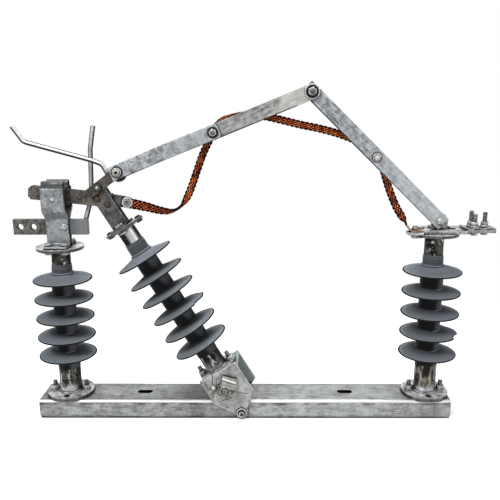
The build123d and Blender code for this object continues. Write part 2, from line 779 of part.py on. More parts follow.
# Knee bolt: its front part belongs to the upper arm's eye
with BuildPart() as knee_bolt:
    add(hex_bolt(facing_front(-arm_bar_face - arm_gap, knee), small_bolt_radius, small_nut_radius, 7,
                 arm_wall + arm_gap, 0, washer_radius + 3))
save(knee_bolt.part, "knee_bolt")

# Right terminal: plate on the cap, upright lug, tongue with three clamping bolts
with BuildPart() as right_terminal_plate:
    with BuildSketch(Plane.XY.offset(right_top)):
        with Locations(((terminal_left + terminal_right) / 2, 0)):
            Rectangle(terminal_right - terminal_left, terminal_width)
        with Locations((tab_bolt_x, tab_bolt_y)):
            Rectangle(tab_length, tab_width)
        with Locations(((terminal_right + tongue_right) / 2 - 5, 0)):
            Rectangle(tongue_right - terminal_right + 10, tongue_width)
        with Locations([(right_column_x + x, y) for x, y in right_cap_holes]):
            Circle(bore, mode=Mode.SUBTRACT)
        with Locations(*stud_places, (tab_bolt_x, tab_bolt_y)):
            Circle(bore, mode=Mode.SUBTRACT)
    extrude(amount=terminal_wall)
save(right_terminal_plate.part, "right_terminal_plate")

with BuildPart() as right_clamp_plate:
    with BuildSketch(Plane.XY.offset(terminal_top)):
        with Locations(((clamp_left + tongue_right) / 2, 0)):
            Rectangle(tongue_right - clamp_left, tongue_width)
        with Locations(*stud_places):
            Circle(bore, mode=Mode.SUBTRACT)
    extrude(amount=clamp_wall)
save(right_clamp_plate.part, "right_clamp_plate")

with BuildPart() as right_terminal_bolts:
    for x, y in stud_places:
        seat = Plane(origin=(x, y, terminal_top + clamp_wall), x_dir=(1, 0, 0), z_dir=(0, 0, 1))
        add(hex_bolt(seat, small_bolt_radius, stud_nut_radius, 6, terminal_wall + clamp_wall, 14))
        under = Plane(origin=(x, y, right_top), x_dir=(1, 0, 0), z_dir=(0, 0, -1))
        add(hex_nut(under, stud_nut_radius, 5))
save(right_terminal_bolts.part, "right_terminal_bolts")

with BuildPart() as right_pivot_lug:
    with BuildSketch(facing_front(-lug_face + lug_wall)):
        with Locations((arm_anchor_x, (terminal_top + arm_anchor_z) / 2)):
            Rectangle(lug_width, arm_anchor_z - terminal_top)
        with Locations((arm_anchor_x, arm_anchor_z)):
            Circle(lug_width / 2)
            Circle(bore, mode=Mode.SUBTRACT)
    extrude(amount=lug_wall)
    with BuildSketch(Plane.XY.offset(terminal_top)):
        with Locations((arm_anchor_x, (lug_foot - lug_face) / 2)):
            Rectangle(lug_width, lug_foot + lug_face)
    extrude(amount=lug_wall)
save(right_pivot_lug.part, "right_pivot_lug")

with BuildPart() as anchor_bolt:
    add(hex_bolt(facing_front(-lower_arm_face - arm_gap, anchor), small_bolt_radius, small_nut_radius, 5,
                 lower_arm_face + arm_gap - lug_face + lug_wall))
    back = Plane(origin=(anchor.X, -lug_face + lug_wall, anchor.Z), x_dir=(1, 0, 0), z_dir=(0, 1, 0))
    add(hex_nut(back, small_nut_radius, 5))
save(anchor_bolt.part, "anchor_bolt")

# Bolt and pressed end of the braid on the terminal's tab
with BuildPart() as braid_ferrule:
    with BuildSketch(facing_front(tab_bolt_y + braid_width / 2)):
        with BuildLine():
            low = terminal_top + ferrule_wall / 2
            FilletPolyline((tab_bolt_x + 10, low), (tab_bolt_x - 8, low), (tab_bolt_x - 13.5, low + 8),
                           radius=3)
            offset(amount=ferrule_wall / 2, side=Side.BOTH)
        make_face()
    extrude(amount=braid_width)
    with BuildSketch(Plane.XY.offset(terminal_top)):
        with Locations((tab_bolt_x, tab_bolt_y)):
            Circle(bore)
    extrude(amount=ferrule_wall, mode=Mode.SUBTRACT)
save(braid_ferrule.part, "braid_ferrule")

with BuildPart() as right_braid_bolt:
    tab_top = Plane(origin=(tab_bolt_x, tab_bolt_y, terminal_top + ferrule_wall), x_dir=(1, 0, 0),
                    z_dir=(0, 0, 1))
    add(hex_bolt(tab_top, small_bolt_radius, stud_nut_radius - 1, 5, terminal_wall + ferrule_wall, 3))
    under = Plane(origin=(tab_bolt_x, tab_bolt_y, right_top), x_dir=(1, 0, 0), z_dir=(0, 0, -1))
    add(hex_nut(under, stud_nut_radius, 6))
save(right_braid_bolt.part, "right_braid_bolt")

# The braid's route, point by point along its middle, from the blade's lug to the right terminal
lug_start = blade_tip + blade_dir * (braid_lug_place - braid_tail)
before_splice = splice + Vector(*splice_approach)
past_splice = splice + (splice - before_splice).normalized() * splice_lead
before_middle = middle + Vector(*middle_approach)
past_middle = middle + (middle - before_middle).normalized() * middle_lead
braid_y = -(braid_thickness + blade_space) / 2


def route_places(start, steps):
    """Points of the braid's middle line: steps in X and Z from a starting point."""
    return [(start.X + along, braid_y, start.Z + rise) for along, rise in steps]


braid_routes = {
    "braid_rocker": route_places(lug_start, [(0, 0), *lug_steps])
    + route_places(splice, splice_steps)
    + route_places(before_splice, [(0, 0)]) + route_places(splice, [(0, 0)]),
    "braid_middle": route_places(splice, [(0, 0)]) + route_places(past_splice, [(0, 0), *sag_steps])
    + route_places(before_middle, [(0, 0)]) + route_places(middle, [(0, 0)]),
    "braid_terminal": route_places(middle, [(0, 0)]) + route_places(past_middle, [(0, 0)])
    + [(anchor.X + along, braid_y - forward, anchor.Z + rise) for along, forward, rise in drop_steps],
}


def arc_radii(points):
    """The largest arc that each corner's two runs allow."""
    radii = []
    for before, here, after in zip(points, points[1:], points[2:]):
        first = Vector(*here) - Vector(*before)
        second = Vector(*after) - Vector(*here)
        half_turn = math.radians(first.get_angle(second)) / 2
        radii.append(0.45 * min(first.length, second.length) / math.tan(half_turn))
    return radii


for name, points in braid_routes.items():
    radii = arc_radii(points)
    with BuildPart() as braid:
        with BuildLine() as line:
            FilletPolyline(*points, radius=radii)
        route = line.line
        with BuildSketch(Plane(origin=route @ 0, x_dir=(0, 1, 0), z_dir=route % 0)):
            Rectangle(braid_thickness, braid_width)
        sweep(path=route)
        for bolt in (lug_bolt, splice, middle):
            with BuildSketch(facing_front(braid_y + braid_thickness, bolt)):
                Circle(bore)
            extrude(amount=2 * braid_thickness, mode=Mode.SUBTRACT)
    save(braid.part, name)
    route_length = sum(edge.length for edge in route.edges())
    full_volume = braid_width * braid_thickness * route_length
    print(name, "length", round(route_length, 1), "volume share",
          round(braid.part.volume / full_volume, 3), "radii", [round(radius) for radius in radii])

print("knee", knee, "pin", arm_pin, "anchor", anchor)
for name, points in braid_routes.items():
    print(name, [tuple(round(value, 2) for value in point) for point in points])
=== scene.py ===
import math

import bmesh
import bpy
import numpy as np
from mathutils import Matrix, Vector


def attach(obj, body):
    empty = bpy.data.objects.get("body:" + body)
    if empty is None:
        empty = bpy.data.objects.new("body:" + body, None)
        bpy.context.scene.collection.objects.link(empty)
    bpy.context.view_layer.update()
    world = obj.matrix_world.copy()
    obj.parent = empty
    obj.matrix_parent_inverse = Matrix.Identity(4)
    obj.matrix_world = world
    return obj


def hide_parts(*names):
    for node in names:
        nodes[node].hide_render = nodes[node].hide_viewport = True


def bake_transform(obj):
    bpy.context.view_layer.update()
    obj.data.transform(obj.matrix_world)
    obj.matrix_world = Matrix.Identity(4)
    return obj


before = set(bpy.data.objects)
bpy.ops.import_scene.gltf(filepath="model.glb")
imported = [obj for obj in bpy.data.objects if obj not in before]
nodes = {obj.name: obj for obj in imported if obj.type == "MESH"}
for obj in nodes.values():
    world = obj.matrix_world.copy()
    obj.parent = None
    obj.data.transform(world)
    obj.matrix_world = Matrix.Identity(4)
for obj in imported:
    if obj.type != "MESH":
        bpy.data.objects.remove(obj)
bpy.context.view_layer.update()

# Places of the switch: X along the channel, Y to the back, Z up; lengths in millimetres, points in metres
MM = 0.001
TILT = math.radians(31.0)
ACROSS = np.array([math.cos(TILT), 0.0, math.sin(TILT)])
UPWARD = np.array([-math.sin(TILT), 0.0, math.cos(TILT)])
BACK = np.array([0.0, 1.0, 0.0])
FRONT = -BACK
RIGHT = np.array([1.0, 0.0, 0.0])
TOP = np.array([0.0, 0.0, 1.0])
PIVOT = np.array([-5.0, 0.0, 13.0]) * MM
LEFT_X = -317.0
RIGHT_X = 326.0
DECK = 34.0
LEFT_HEIGHT = 274.0
RIGHT_HEIGHT = 298.0
LEFT_TOP = DECK + LEFT_HEIGHT
RIGHT_TOP = DECK + RIGHT_HEIGHT
STIRRUP_DECK = 77.5
STIRRUP_FACE = -40.0
ROCKER_HEIGHT = 308.5
ROCKER_OFFSET = -2.0
CAP_TOP = STIRRUP_DECK + ROCKER_HEIGHT
ARM_PIN = PIVOT + (ACROSS * 44.0 + UPWARD * (CAP_TOP + 81.0)) * MM
KNEE = np.array([110.663, 0.0, 563.338]) * MM
ANCHOR = np.array([331.0, 0.0, 351.0]) * MM
UPPER_DIR = (KNEE - ARM_PIN) / np.linalg.norm(KNEE - ARM_PIN)
LOWER_DIR = (ANCHOR - KNEE) / np.linalg.norm(ANCHOR - KNEE)
SPLICE = ARM_PIN + UPPER_DIR * 171.0 * MM
MIDDLE = KNEE + LOWER_DIR * 151.0 * MM
BLADE_SLOPE = math.radians(6.1)
BLADE_DIR = np.array([math.cos(BLADE_SLOPE), 0.0, -math.sin(BLADE_SLOPE)])
BLADE_TIP = np.array([-361.99, 0.0, 401.51]) * MM
LUG_BOLT = BLADE_TIP + BLADE_DIR * 167.0 * MM
SHAFT = PIVOT + UPWARD * 55.0 * MM


def on_rocker(across, up, depth=0.0):
    """Pivot plus across along the rocker's width, up along its column and depth to the back."""
    return PIVOT + (ACROSS * across + UPWARD * up + BACK * depth) * MM


def at(x, y, z):
    return np.array([x, y, z]) * MM


def unit(v):
    v = np.asarray(v, float)
    return v / np.linalg.norm(v)


# Materials


class Wire:
    """A value or colour on its way through a finish; + - * / and ** add Math nodes."""

    def __init__(self, finish, socket):
        self.finish, self.socket = finish, socket

    def math(self, operation, a, b):
        return self.finish.node("ShaderNodeMath", {"operation": operation}, {0: a, 1: b})

    def __add__(self, other):
        return self.math("ADD", self, other)

    def __radd__(self, other):
        return self.math("ADD", other, self)

    def __sub__(self, other):
        return self.math("SUBTRACT", self, other)

    def __rsub__(self, other):
        return self.math("SUBTRACT", other, self)

    def __mul__(self, other):
        return self.math("MULTIPLY", self, other)

    def __rmul__(self, other):
        return self.math("MULTIPLY", other, self)

    def __truediv__(self, other):
        return self.math("DIVIDE", self, other)

    def __pow__(self, other):
        return self.math("POWER", self, other)


class Finish:
    """The node tree of one material, or of the world."""

    def __init__(self, owner):
        owner.use_nodes = True
        self.owner, self.tree = owner, owner.node_tree
        self.tree.nodes.clear()
        self.place, self.facing = self.node("ShaderNodeTexCoord", out=("Object", "Normal"))

    def node(self, kind, settings=None, inputs=None, out=0):
        """Adds a node: its settings first, then the values or wires of its inputs; gives one output, or
        several where out is a tuple."""
        item = self.tree.nodes.new(kind)
        for key, value in (settings or {}).items():
            setattr(item, key, value)
        for key, value in (inputs or {}).items():
            if isinstance(value, Wire):
                self.tree.links.new(value.socket, item.inputs[key])
            else:
                item.inputs[key].default_value = value
        if isinstance(out, tuple):
            return [Wire(self, item.outputs[key]) for key in out]
        return Wire(self, item.outputs[out]) if item.outputs else None

    def noise(self, place, scale, detail=3.0, rough=0.55, distortion=0.0):
        return self.node("ShaderNodeTexNoise", None, {"Vector": place, "Scale": scale, "Detail": detail,
                         "Roughness": rough, "Distortion": distortion})

    def stretch(self, place, scale, turn=(0, 0, 0)):
        """The place in axes turned about Y, then scaled along each: a small scale draws streaks out."""
        return self.node("ShaderNodeMapping", {"vector_type": "TEXTURE"},
                         {"Vector": place, "Scale": tuple(1.0 / k for k in scale), "Rotation": turn})

    def parts(self, vector):
        return self.node("ShaderNodeSeparateXYZ", None, {0: vector}, out=(0, 1, 2))

    def math(self, operation, a, b=0.0):
        return self.node("ShaderNodeMath", {"operation": operation}, {0: a, 1: b})

    def along(self, vector, direction):
        """How far a vector goes along a fixed direction."""
        return self.node("ShaderNodeVectorMath", {"operation": "DOT_PRODUCT"},
                         {0: vector, 1: tuple(unit(direction))}, out="Value")

    def level(self, value, low, high, start=0.0, end=1.0):
        """The value between low and high, spread smoothly from start to end."""
        return self.node("ShaderNodeMapRange", {"interpolation_type": "SMOOTHSTEP"},
                         {0: value, 1: low, 2: high, 3: start, 4: end})

    def blend(self, mask, a, b):
        """Colour a where the mask is 0 and b where it is 1."""
        def full(c):
            return c if isinstance(c, Wire) else (*c, 1.0)
        return self.node("ShaderNodeMix", {"data_type": "RGBA", "clamp_factor": True},
                         {0: mask, 6: full(a), 7: full(b)}, out=2)

    def edge(self, radius, sharpness):
        """(mask of the edges, rounded normal): how far the rounded normal turns from the true one."""
        rounded = self.node("ShaderNodeBevel", {"samples": 6}, {"Radius": radius})
        true = self.node("ShaderNodeNewGeometry", out="Normal")
        same = self.node("ShaderNodeVectorMath", {"operation": "DOT_PRODUCT"}, {0: rounded, 1: true}, out="Value")
        return self.level(1.0 - same, 0.0, 1.0 / sharpness), rounded

    def upper_side(self, normal):
        """1 where a world normal leans upwards in the piece's own space, 0 where it lies flat or hangs."""
        own = self.node("ShaderNodeVectorTransform", {"vector_type": "NORMAL", "convert_from": "WORLD",
                                                      "convert_to": "OBJECT"}, {0: normal})
        return self.level(self.along(own, TOP), -0.02, 0.14)

    def hollow(self, reach):
        """1 in corners and under overhangs, 0 in the open."""
        open_share = self.node("ShaderNodeAmbientOcclusion", {"samples": 8}, {"Distance": reach}, out="AO")
        return 1.0 - open_share

    def close(self, colour, roughness, metallic, height, depth, strength, normal=None, specular=0.5):
        """Ends the tree with a surface whose bump follows height over depth metres."""
        bump = {"Height": height, "Distance": depth, "Strength": strength}
        if normal is not None:
            bump["Normal"] = normal
        shader = self.node("ShaderNodeBsdfPrincipled", None, {
            "Base Color": colour, "Roughness": roughness, "Metallic": metallic, "Specular IOR Level": specular,
            "Normal": self.node("ShaderNodeBump", None, bump)})
        self.node("ShaderNodeOutputMaterial", None, {"Surface": shader})
        return self.owner


def zinc(name, light, dark, rough=0.42, metal=0.4, scuff=(1.0, 1.0, 1.0), scuff_turn=(0, 0, 0), grime_and_shade=0.85,
         grime_and_shade_colour=(0.02, 0.017, 0.014), rust=0.0, cloud=26.0, spangle=0.35, edge=0.75,
         edge_colour=(0.80, 0.81, 0.82), scratch=0.5, reach=0.012, contrast=1.0, clouded=1.0, outline=0.9, gloss=0.12, edge_width=0.0017, marks=()):
    """Galvanised steel: clouds and spangles between dark and light, scuffs along one direction,
    grime and painted shade in the corners and creases, upper edges rubbed bright with a painted highlight
    and lower ones outlined dark in painted shade, and some rust. Where it is dark it is dull."""
    f = Finish(bpy.data.materials.new(name))
    clouds = f.noise(f.place, cloud, 6, 0.62, 0.4)
    blotches = f.noise(f.place, cloud * 4.3, 4, 0.6)
    cells = f.node("ShaderNodeTexVoronoi", {"feature": "F1"},
                   {"Vector": f.place, "Scale": 150.0, "Randomness": 1.0}, out="Color")
    grey = f.node("ShaderNodeSeparateColor", None, {"Color": cells})
    grain = f.noise(f.place, 900.0, 3, 0.7)
    streaks = f.noise(f.stretch(f.place, scuff, scuff_turn), 220.0, 5, 0.7)
    fine = f.noise(f.stretch(f.place, scuff, scuff_turn), 760.0, 3, 0.7)
    tone = clouds * clouded + blotches * 0.7 + grey * (0.32 * spangle) + streaks * (0.9 * scratch) + grain * 0.6
    middle = 0.5 * clouded + 0.35 + 0.16 * spangle + 0.45 * scratch + 0.3
    tone = f.level(tone, middle - 0.32 / contrast, middle + 0.32 / contrast)
    colour = f.blend(tone, dark, light)
    pits = f.level(f.noise(f.place, 330.0, 3, 0.75), 0.64, 0.70)
    colour = f.blend(pits * 0.8, colour, (0.03, 0.027, 0.024))
    scores = f.level(fine, 0.60, 0.67) * scratch
    colour = f.blend(scores * 0.55, colour, edge_colour)
    colour = f.blend(f.level(fine, 0.33, 0.41, scratch * 0.8, 0.0), colour, tuple(0.35 * c for c in dark))
    if rust > 0:
        spots = f.level(f.noise(f.place, 75.0, 7, 0.72), 0.60 - 0.12 * rust, 0.70 - 0.08 * rust)
        mark_colour = f.blend(f.noise(f.place, 400.0, 4), (0.05, 0.022, 0.01), (0.19, 0.09, 0.04))
        colour = f.blend(spots * min(1.0, 0.25 + rust), colour, mark_colour)
    for mark in marks:
        colour = mark(f, colour, blotches)
    # Upper edges: wear, brightened as a painted highlight; lower edges: a dark outline of painted shade.
    rubbed, rounded = f.edge(edge_width, 2.2)
    upper = f.upper_side(rounded)
    worn = f.level(rubbed * (0.45 + 1.1 * blotches), 0.2, 0.62) * upper
    colour = f.blend(worn * edge, colour, edge_colour)
    colour = f.blend(f.level(rubbed, 0.04, 0.30) * (1.0 - upper) * outline, colour, grime_and_shade_colour)
    # Grime and painted shade in corners and under overhangs, and painted shade in tight creases where parts meet.
    corner = f.level(f.hollow(reach), 0.14, 0.80)
    colour = f.blend(corner * grime_and_shade, colour, grime_and_shade_colour)
    crease = f.level(f.hollow(0.0045), 0.16, 0.5)
    colour = f.blend(crease * 0.9, colour, grime_and_shade_colour)
    lightness = f.level(f.node("ShaderNodeRGBToBW", None, {0: colour}), 0.02, 0.16)
    roughness = rough + 0.4 - lightness * 0.4 - worn * 0.1
    metallic = (metal + worn * (0.85 - metal)) * lightness
    height = (blotches * 0.5 + grain * 0.3 + streaks * (0.5 * scratch) - pits * 0.8 - scores * 0.5
              + grey * 0.15)
    return f.close(colour, roughness, metallic, height, 0.0004, 0.85, rounded, specular=gloss)


def shaded_side(direction, low, high, amount, mark_colour=(0.012, 0.011, 0.010), ragged=0.5):
    """Painted shade on the side of a piece that faces one way."""
    def mark(f, colour, blotches):
        side = f.level(f.along(f.facing, direction) + (blotches - 0.5) * ragged, low, high)
        return f.blend(side * amount, colour, mark_colour)
    return mark


def tinted(axis, low, high, tint, amount):
    """A change of colour along an axis, from low to high in metres."""
    def mark(f, colour, blotches):
        share = f.level(f.along(f.place, axis) + (blotches - 0.5) * 0.01, low, high)
        return f.blend(share * amount, colour, tint)
    return mark


def line_mark(a, b, half, tone, amount, ragged=0.0012):
    """A line from a to b across X and Z: near the nearest point of its line, with a ragged edge. It draws painted
    highlights along bends, painted shadows and shaded outlines, and other marks.
    """
    a, b = np.array(a) * MM, np.array(b) * MM
    run = b - a
    size = float(run @ run)

    def mark(f, colour, blotches):
        x, _, z = f.parts(f.place)
        dx, dz = x - float(a[0]), z - float(a[1])
        share = (dx * float(run[0]) + dz * float(run[1])) * (1.0 / size)
        share = f.math("MINIMUM", f.math("MAXIMUM", share, 0.0), 1.0)
        off_x, off_z = dx - share * float(run[0]), dz - share * float(run[1])
        gap = f.math("SQRT", off_x * off_x + off_z * off_z) + (blotches - 0.5) * ragged
        return f.blend(f.level(gap, half * MM, half * MM * 1.8, amount, 0.0), colour, tone)
    return mark


def lower_edge(start, direction, first, last, half=0.8, off=11.7):
    """A dark line of painted shade along a flat bar, just inside its lower edge."""
    below = np.cross(direction, BACK)
    below = below if below[2] < 0 else -below
    a, b = ((start + direction * k * MM + below * off * MM) / MM for k in (first, last))
    return line_mark((a[0], a[2]), (b[0], b[2]), half, (0.010, 0.009, 0.008), 0.95, 0.0006)


def ring_line(centre, radius, half, tone, amount):
    """A worn ring round a hole, where a washer has turned."""
    def mark(f, colour, blotches):
        x, _, z = f.parts(f.place)
        dx, dz = x - centre[0] * MM, z - centre[1] * MM
        gap = f.math("ABSOLUTE", f.math("SQRT", dx * dx + dz * dz) - radius * MM) + (blotches - 0.5) * 0.0008
        return f.blend(f.level(gap, half * MM, half * MM * 2.0, amount, 0.0), colour, tone)
    return mark


def channel_marks(f, colour, blotches):
    """The channel's long fold carries a white painted highlight, with a dark ragged line below it and a
    stained lower rim; a painted shadow lies on the top beside the rocker, and the inside is painted near
    black as shade."""
    x, y, z = f.parts(f.place)
    drag = f.noise(f.stretch(f.place, (0.25, 1, 1)), 130.0, 4, 0.65)
    over = (z - y) * 0.7071
    # Painted highlight along the fold.
    white = f.level(over + (drag - 0.5) * 0.0010, 0.0459, 0.0463)
    under = f.level(z + (drag - 0.5) * 0.010, 0.0225, 0.0285) * f.level(z, 0.0288, 0.0298, 1.0, 0.0)
    front = f.level(y, -0.0345, -0.0335, 1.0, 0.0)
    patchy = f.level(f.noise(f.stretch(f.place, (1, 0.01, 0.01)), 26.0, 3, 0.6), 0.44, 0.58)
    colour = f.blend(under * front * patchy * 0.85, colour, (0.045, 0.042, 0.038))
    rim = f.level(z + (drag - 0.5) * 0.009, 0.0012, 0.0042, 1.0, 0.0) * front
    colour = f.blend(rim * 0.8, colour, (0.03, 0.028, 0.025))
    scrapes = f.level(drag, 0.60, 0.68) * front * 0.55
    colour = f.blend(scrapes, colour, (0.12, 0.12, 0.115))
    # Painted shadow that the rocker casts on the channel's top.
    shade = f.level(f.math("ABSOLUTE", x + 0.075), 0.01, 0.075, 1.0, 0.0) * f.level(z, 0.0325, 0.0335)
    colour = f.blend(shade * 0.6, colour, (0.10, 0.10, 0.098))
    colour = f.blend(f.level(x, -0.1, 0.33) * 0.15, colour, (0.55, 0.565, 0.575))
    line = f.level(f.math("ABSOLUTE", x - 0.3365 + (drag - 0.5) * 0.003), 0.0004, 0.0009, 1.0, 0.0) * front
    colour = f.blend(line * 0.7, colour, (0.06, 0.055, 0.05))
    colour = f.blend(white * f.level(y, -0.01, 0.0, 0.85, 0.0), colour, (0.86, 0.87, 0.88))
    # Painted shade: the inside of the channel, seen through its slots, near black.
    inside = f.level(f.math("ABSOLUTE", y), 0.028, 0.030, 1.0, 0.0) * f.level(z, 0.0330, 0.0337, 1.0, 0.0)
    return f.blend(inside, colour, (0.004, 0.004, 0.004))


def column_zinc(name, centre, axis, turn, olive, bright_foot, sleeve_sheen, mirrored=False):
    """Flange and sleeve of one insulator: the flange is streaked round and across its axis like a turned
    face, in arcs that are partly a painted reflection, with painted shade on its side wall. The sleeve is
    dark with light runs down it as painted glints, painted shade on its left and right sides, and on the
    rocker's cap a painted reflection. Edges get a painted highlight above and painted shade below, and
    corners and creases painted shade."""
    f = Finish(bpy.data.materials.new(name))
    local = f.node("ShaderNodeMapping", {"vector_type": "TEXTURE"},
                   {"Vector": f.place, "Location": tuple(centre), "Rotation": turn})
    x, y, z = f.parts(local)
    radius = f.math("SQRT", x * x + y * y)
    angle = f.math("ARCTAN2", y, x)
    ring = f.node("ShaderNodeCombineXYZ", None, {0: f.math("SINE", angle), 1: f.math("COSINE", angle),
                                                 2: radius * 22.0})
    arcs = f.noise(ring, 2.3, 4, 0.6, 0.6)
    blobs = f.noise(f.place, 62.0, 6, 0.66, 0.8)
    grain = f.noise(f.place, 700.0, 3, 0.7)
    # The flange's arcs are partly a painted reflection.
    flange = f.level(arcs * 1.1 + blobs * 0.5 + grain * 0.3, 0.95 - 0.2, 0.95 + 0.2)
    colour = f.blend(flange, (0.25, 0.253, 0.253), (0.93, 0.94, 0.945))
    # Painted shade on the flange's side wall.
    upright = f.math("ABSOLUTE", f.along(f.facing, axis))
    colour = f.blend(f.level(upright, 0.35, 0.6, 0.85, 0.0), colour, (0.035, 0.033, 0.03))
    runs = f.noise(f.stretch(local, (1, 1, 0.28)), 130.0, 5, 0.68, 0.5)
    spots = f.noise(f.place, 48.0, 5, 0.6)
    tube = f.level(runs * 0.8 + spots * 0.7 + grain * 0.2, 0.85 - 0.06, 0.85 + 0.2)
    tube_colour = f.blend(tube, (0.018, 0.017, 0.015), olive)
    # Painted glints on the sleeve's front and back, and painted shade on its left and right sides.
    side = f.level(f.math("ABSOLUTE", f.math("SINE", angle + 0.15)), 0.25, 0.85)
    glint = f.level(runs, 0.55, 0.64) * side
    tube_colour = f.blend(glint * sleeve_sheen, tube_colour, (0.70, 0.71, 0.72))
    tube_colour = f.blend((1.0 - side) * (0.9 * sleeve_sheen), tube_colour, (0.016, 0.015, 0.014))
    high = f.level(z, 0.18, 0.20)
    dark_cap = f.blend(f.level(spots + runs * 0.3, 0.60, 0.74), (0.010, 0.008, 0.006), (0.085, 0.08, 0.07))
    chips = f.level(f.noise(f.place, 105.0, 5, 0.7), 0.57, 0.62)
    dark_cap = f.blend(chips * 0.85, dark_cap, (0.62, 0.63, 0.63))
    # Painted reflection on the rocker's cap, with painted shade on its left side.
    turned_to = f.along(f.facing, (0.42, -0.90, 0.1))
    mirror = f.blend(f.level(turned_to, 0.78, 0.99), (0.04, 0.039, 0.037), (0.62, 0.63, 0.64))
    mirror = f.blend(f.level(f.along(f.facing, (-1, -0.25, 0)), 0.30, 0.62), mirror, (0.008, 0.008, 0.008))
    mirror = f.blend(f.level(runs, 0.56, 0.62) * 0.45, mirror, (0.10, 0.10, 0.10))
    tube_colour = f.blend(high, tube_colour, mirror if mirrored else dark_cap)
    low = f.level(z + (blobs - 0.5) * 0.03, 0.010, 0.024, 1.0, 0.0) * bright_foot
    tube_colour = f.blend(low * side, tube_colour, (0.62, 0.64, 0.66))
    on_tube = f.level(radius, 0.0208, 0.0215, 1.0, 0.0)
    colour = f.blend(on_tube, colour, tube_colour)
    # Painted highlight on upper edges and painted shade on lower ones.
    rubbed, rounded = f.edge(0.0016, 2.2)
    upper = f.upper_side(rounded)
    colour = f.blend(f.level(rubbed * (0.5 + 1.0 * blobs), 0.2, 0.6) * upper * 0.9, colour, (0.84, 0.85, 0.86))
    colour = f.blend(f.level(rubbed, 0.05, 0.32) * (1.0 - upper) * 0.9, colour, (0.014, 0.012, 0.010))
    pits = f.level(f.noise(f.place, 170.0, 4, 0.7), 0.65, 0.70)
    colour = f.blend(pits * 0.9, colour, (0.02, 0.017, 0.014))
    # Painted shade in corners and creases.
    corner = f.level(f.hollow(0.010), 0.12, 0.75)
    colour = f.blend(corner * 0.92, colour, (0.014, 0.012, 0.010))
    crease = f.level(f.hollow(0.0045), 0.16, 0.5)
    colour = f.blend(crease * 0.9, colour, (0.014, 0.012, 0.010))
    lightness = f.level(f.node("ShaderNodeRGBToBW", None, {0: colour}), 0.02, 0.16)
    roughness = 0.62 - lightness * 0.34
    metallic = lightness * 0.5
    return f.close(colour, roughness, metallic, blobs * 0.5 + arcs * 0.3 + grain * 0.3 - pits, 0.0005, 0.9, rounded,
                   specular=0.06)


def silicone(name, centre, axis, turn, reach, last):
    """Moulded silicone: satin, bluish and paler on the sheds' tops where dust lies. Painted shade darkens the
    sheds near the trunk and makes the trunk below the last shed near black, with a painted highlight down
    one side of it; a painted highlight runs inside the rims and painted shade round them, with painted
    glints where the sheds meet the trunk and painted shade in corners."""
    f = Finish(bpy.data.materials.new(name))
    local = f.node("ShaderNodeMapping", {"vector_type": "TEXTURE"},
                   {"Vector": f.place, "Location": tuple(centre), "Rotation": turn})
    x, y, z = f.parts(local)
    radius = f.math("SQRT", x * x + y * y)
    upward = f.along(f.facing, axis)
    clouds = f.noise(f.place, 34.0, 5, 0.6)
    skin = f.noise(f.place, 2200.0, 2, 0.5)
    wipe = f.noise(f.stretch(f.place, (1, 1, 3)), 60.0, 5, 0.65, 1.0)
    dust = f.level(upward, 0.3, 0.93) * (0.55 + wipe * 0.6)
    colour = f.blend(clouds, (0.060, 0.065, 0.072), (0.088, 0.095, 0.104))
    colour = f.blend(dust, colour, (0.235, 0.26, 0.292))
    # Painted shade on the sheds near the trunk.
    inner = f.level(radius, 0.020, 0.044, 0.80, 0.0) * f.level(z, (last + 2) * MM, (last + 6) * MM, 1.0, 0.0)
    colour = f.blend(inner, colour, (0.028, 0.030, 0.033))
    # Painted shade: the trunk near black, with a painted highlight down one side.
    trunk = f.level(radius, 0.0198, 0.0206, 1.0, 0.0) * f.level(z, last * MM, (last + 8) * MM, 1.0, 0.0)
    sheen = f.level(f.along(f.facing, (0.72, -0.68, 0.1)), 0.80, 0.99)
    trunk_colour = f.blend(sheen, (0.008, 0.0085, 0.0095), (0.085, 0.09, 0.10))
    colour = f.blend(trunk, colour, trunk_colour)
    # Painted highlight inside each rim and painted shade round it.
    from_rim = reach * MM - radius
    width = 0.0016 + 0.0022 * f.level(y / radius, -0.6, 0.9)
    light_line = f.level(from_rim / width, 1.5, 2.4, 1.0, 0.0) * f.level(upward, 0.2, 0.6)
    colour = f.blend(light_line * 0.55, colour, (0.36, 0.385, 0.41))
    colour = f.blend(f.level(from_rim / width, 0.85, 1.15, 0.97, 0.0), colour, (0.005, 0.0055, 0.006))
    # Painted glints where the sheds meet the trunk.
    foot = f.level(f.math("ABSOLUTE", radius - 0.0205), 0.0003, 0.0008, 1.0, 0.0) * f.level(upward, 0.25, 0.5)
    shine = f.level(f.along(f.facing, (0.35, -0.62, 0.7)), 0.93, 0.99)
    colour = f.blend(foot * shine * 0.45, colour, (0.55, 0.58, 0.62))
    specks = f.level(f.noise(f.place, 800.0, 3, 0.7), 0.66, 0.76)
    colour = f.blend(specks * 0.35, colour, (0.30, 0.30, 0.29))
    # Painted shade in corners.
    corner = f.level(f.hollow(0.030), 0.30, 0.95)
    colour = f.blend(corner * 0.85, colour, (0.006, 0.0065, 0.0075))
    roughness = 0.5 + dust * 0.2
    return f.close(colour, roughness, 0.0, skin * 0.4 + clouds * 0.6, 0.0002, 0.35, specular=0.08)


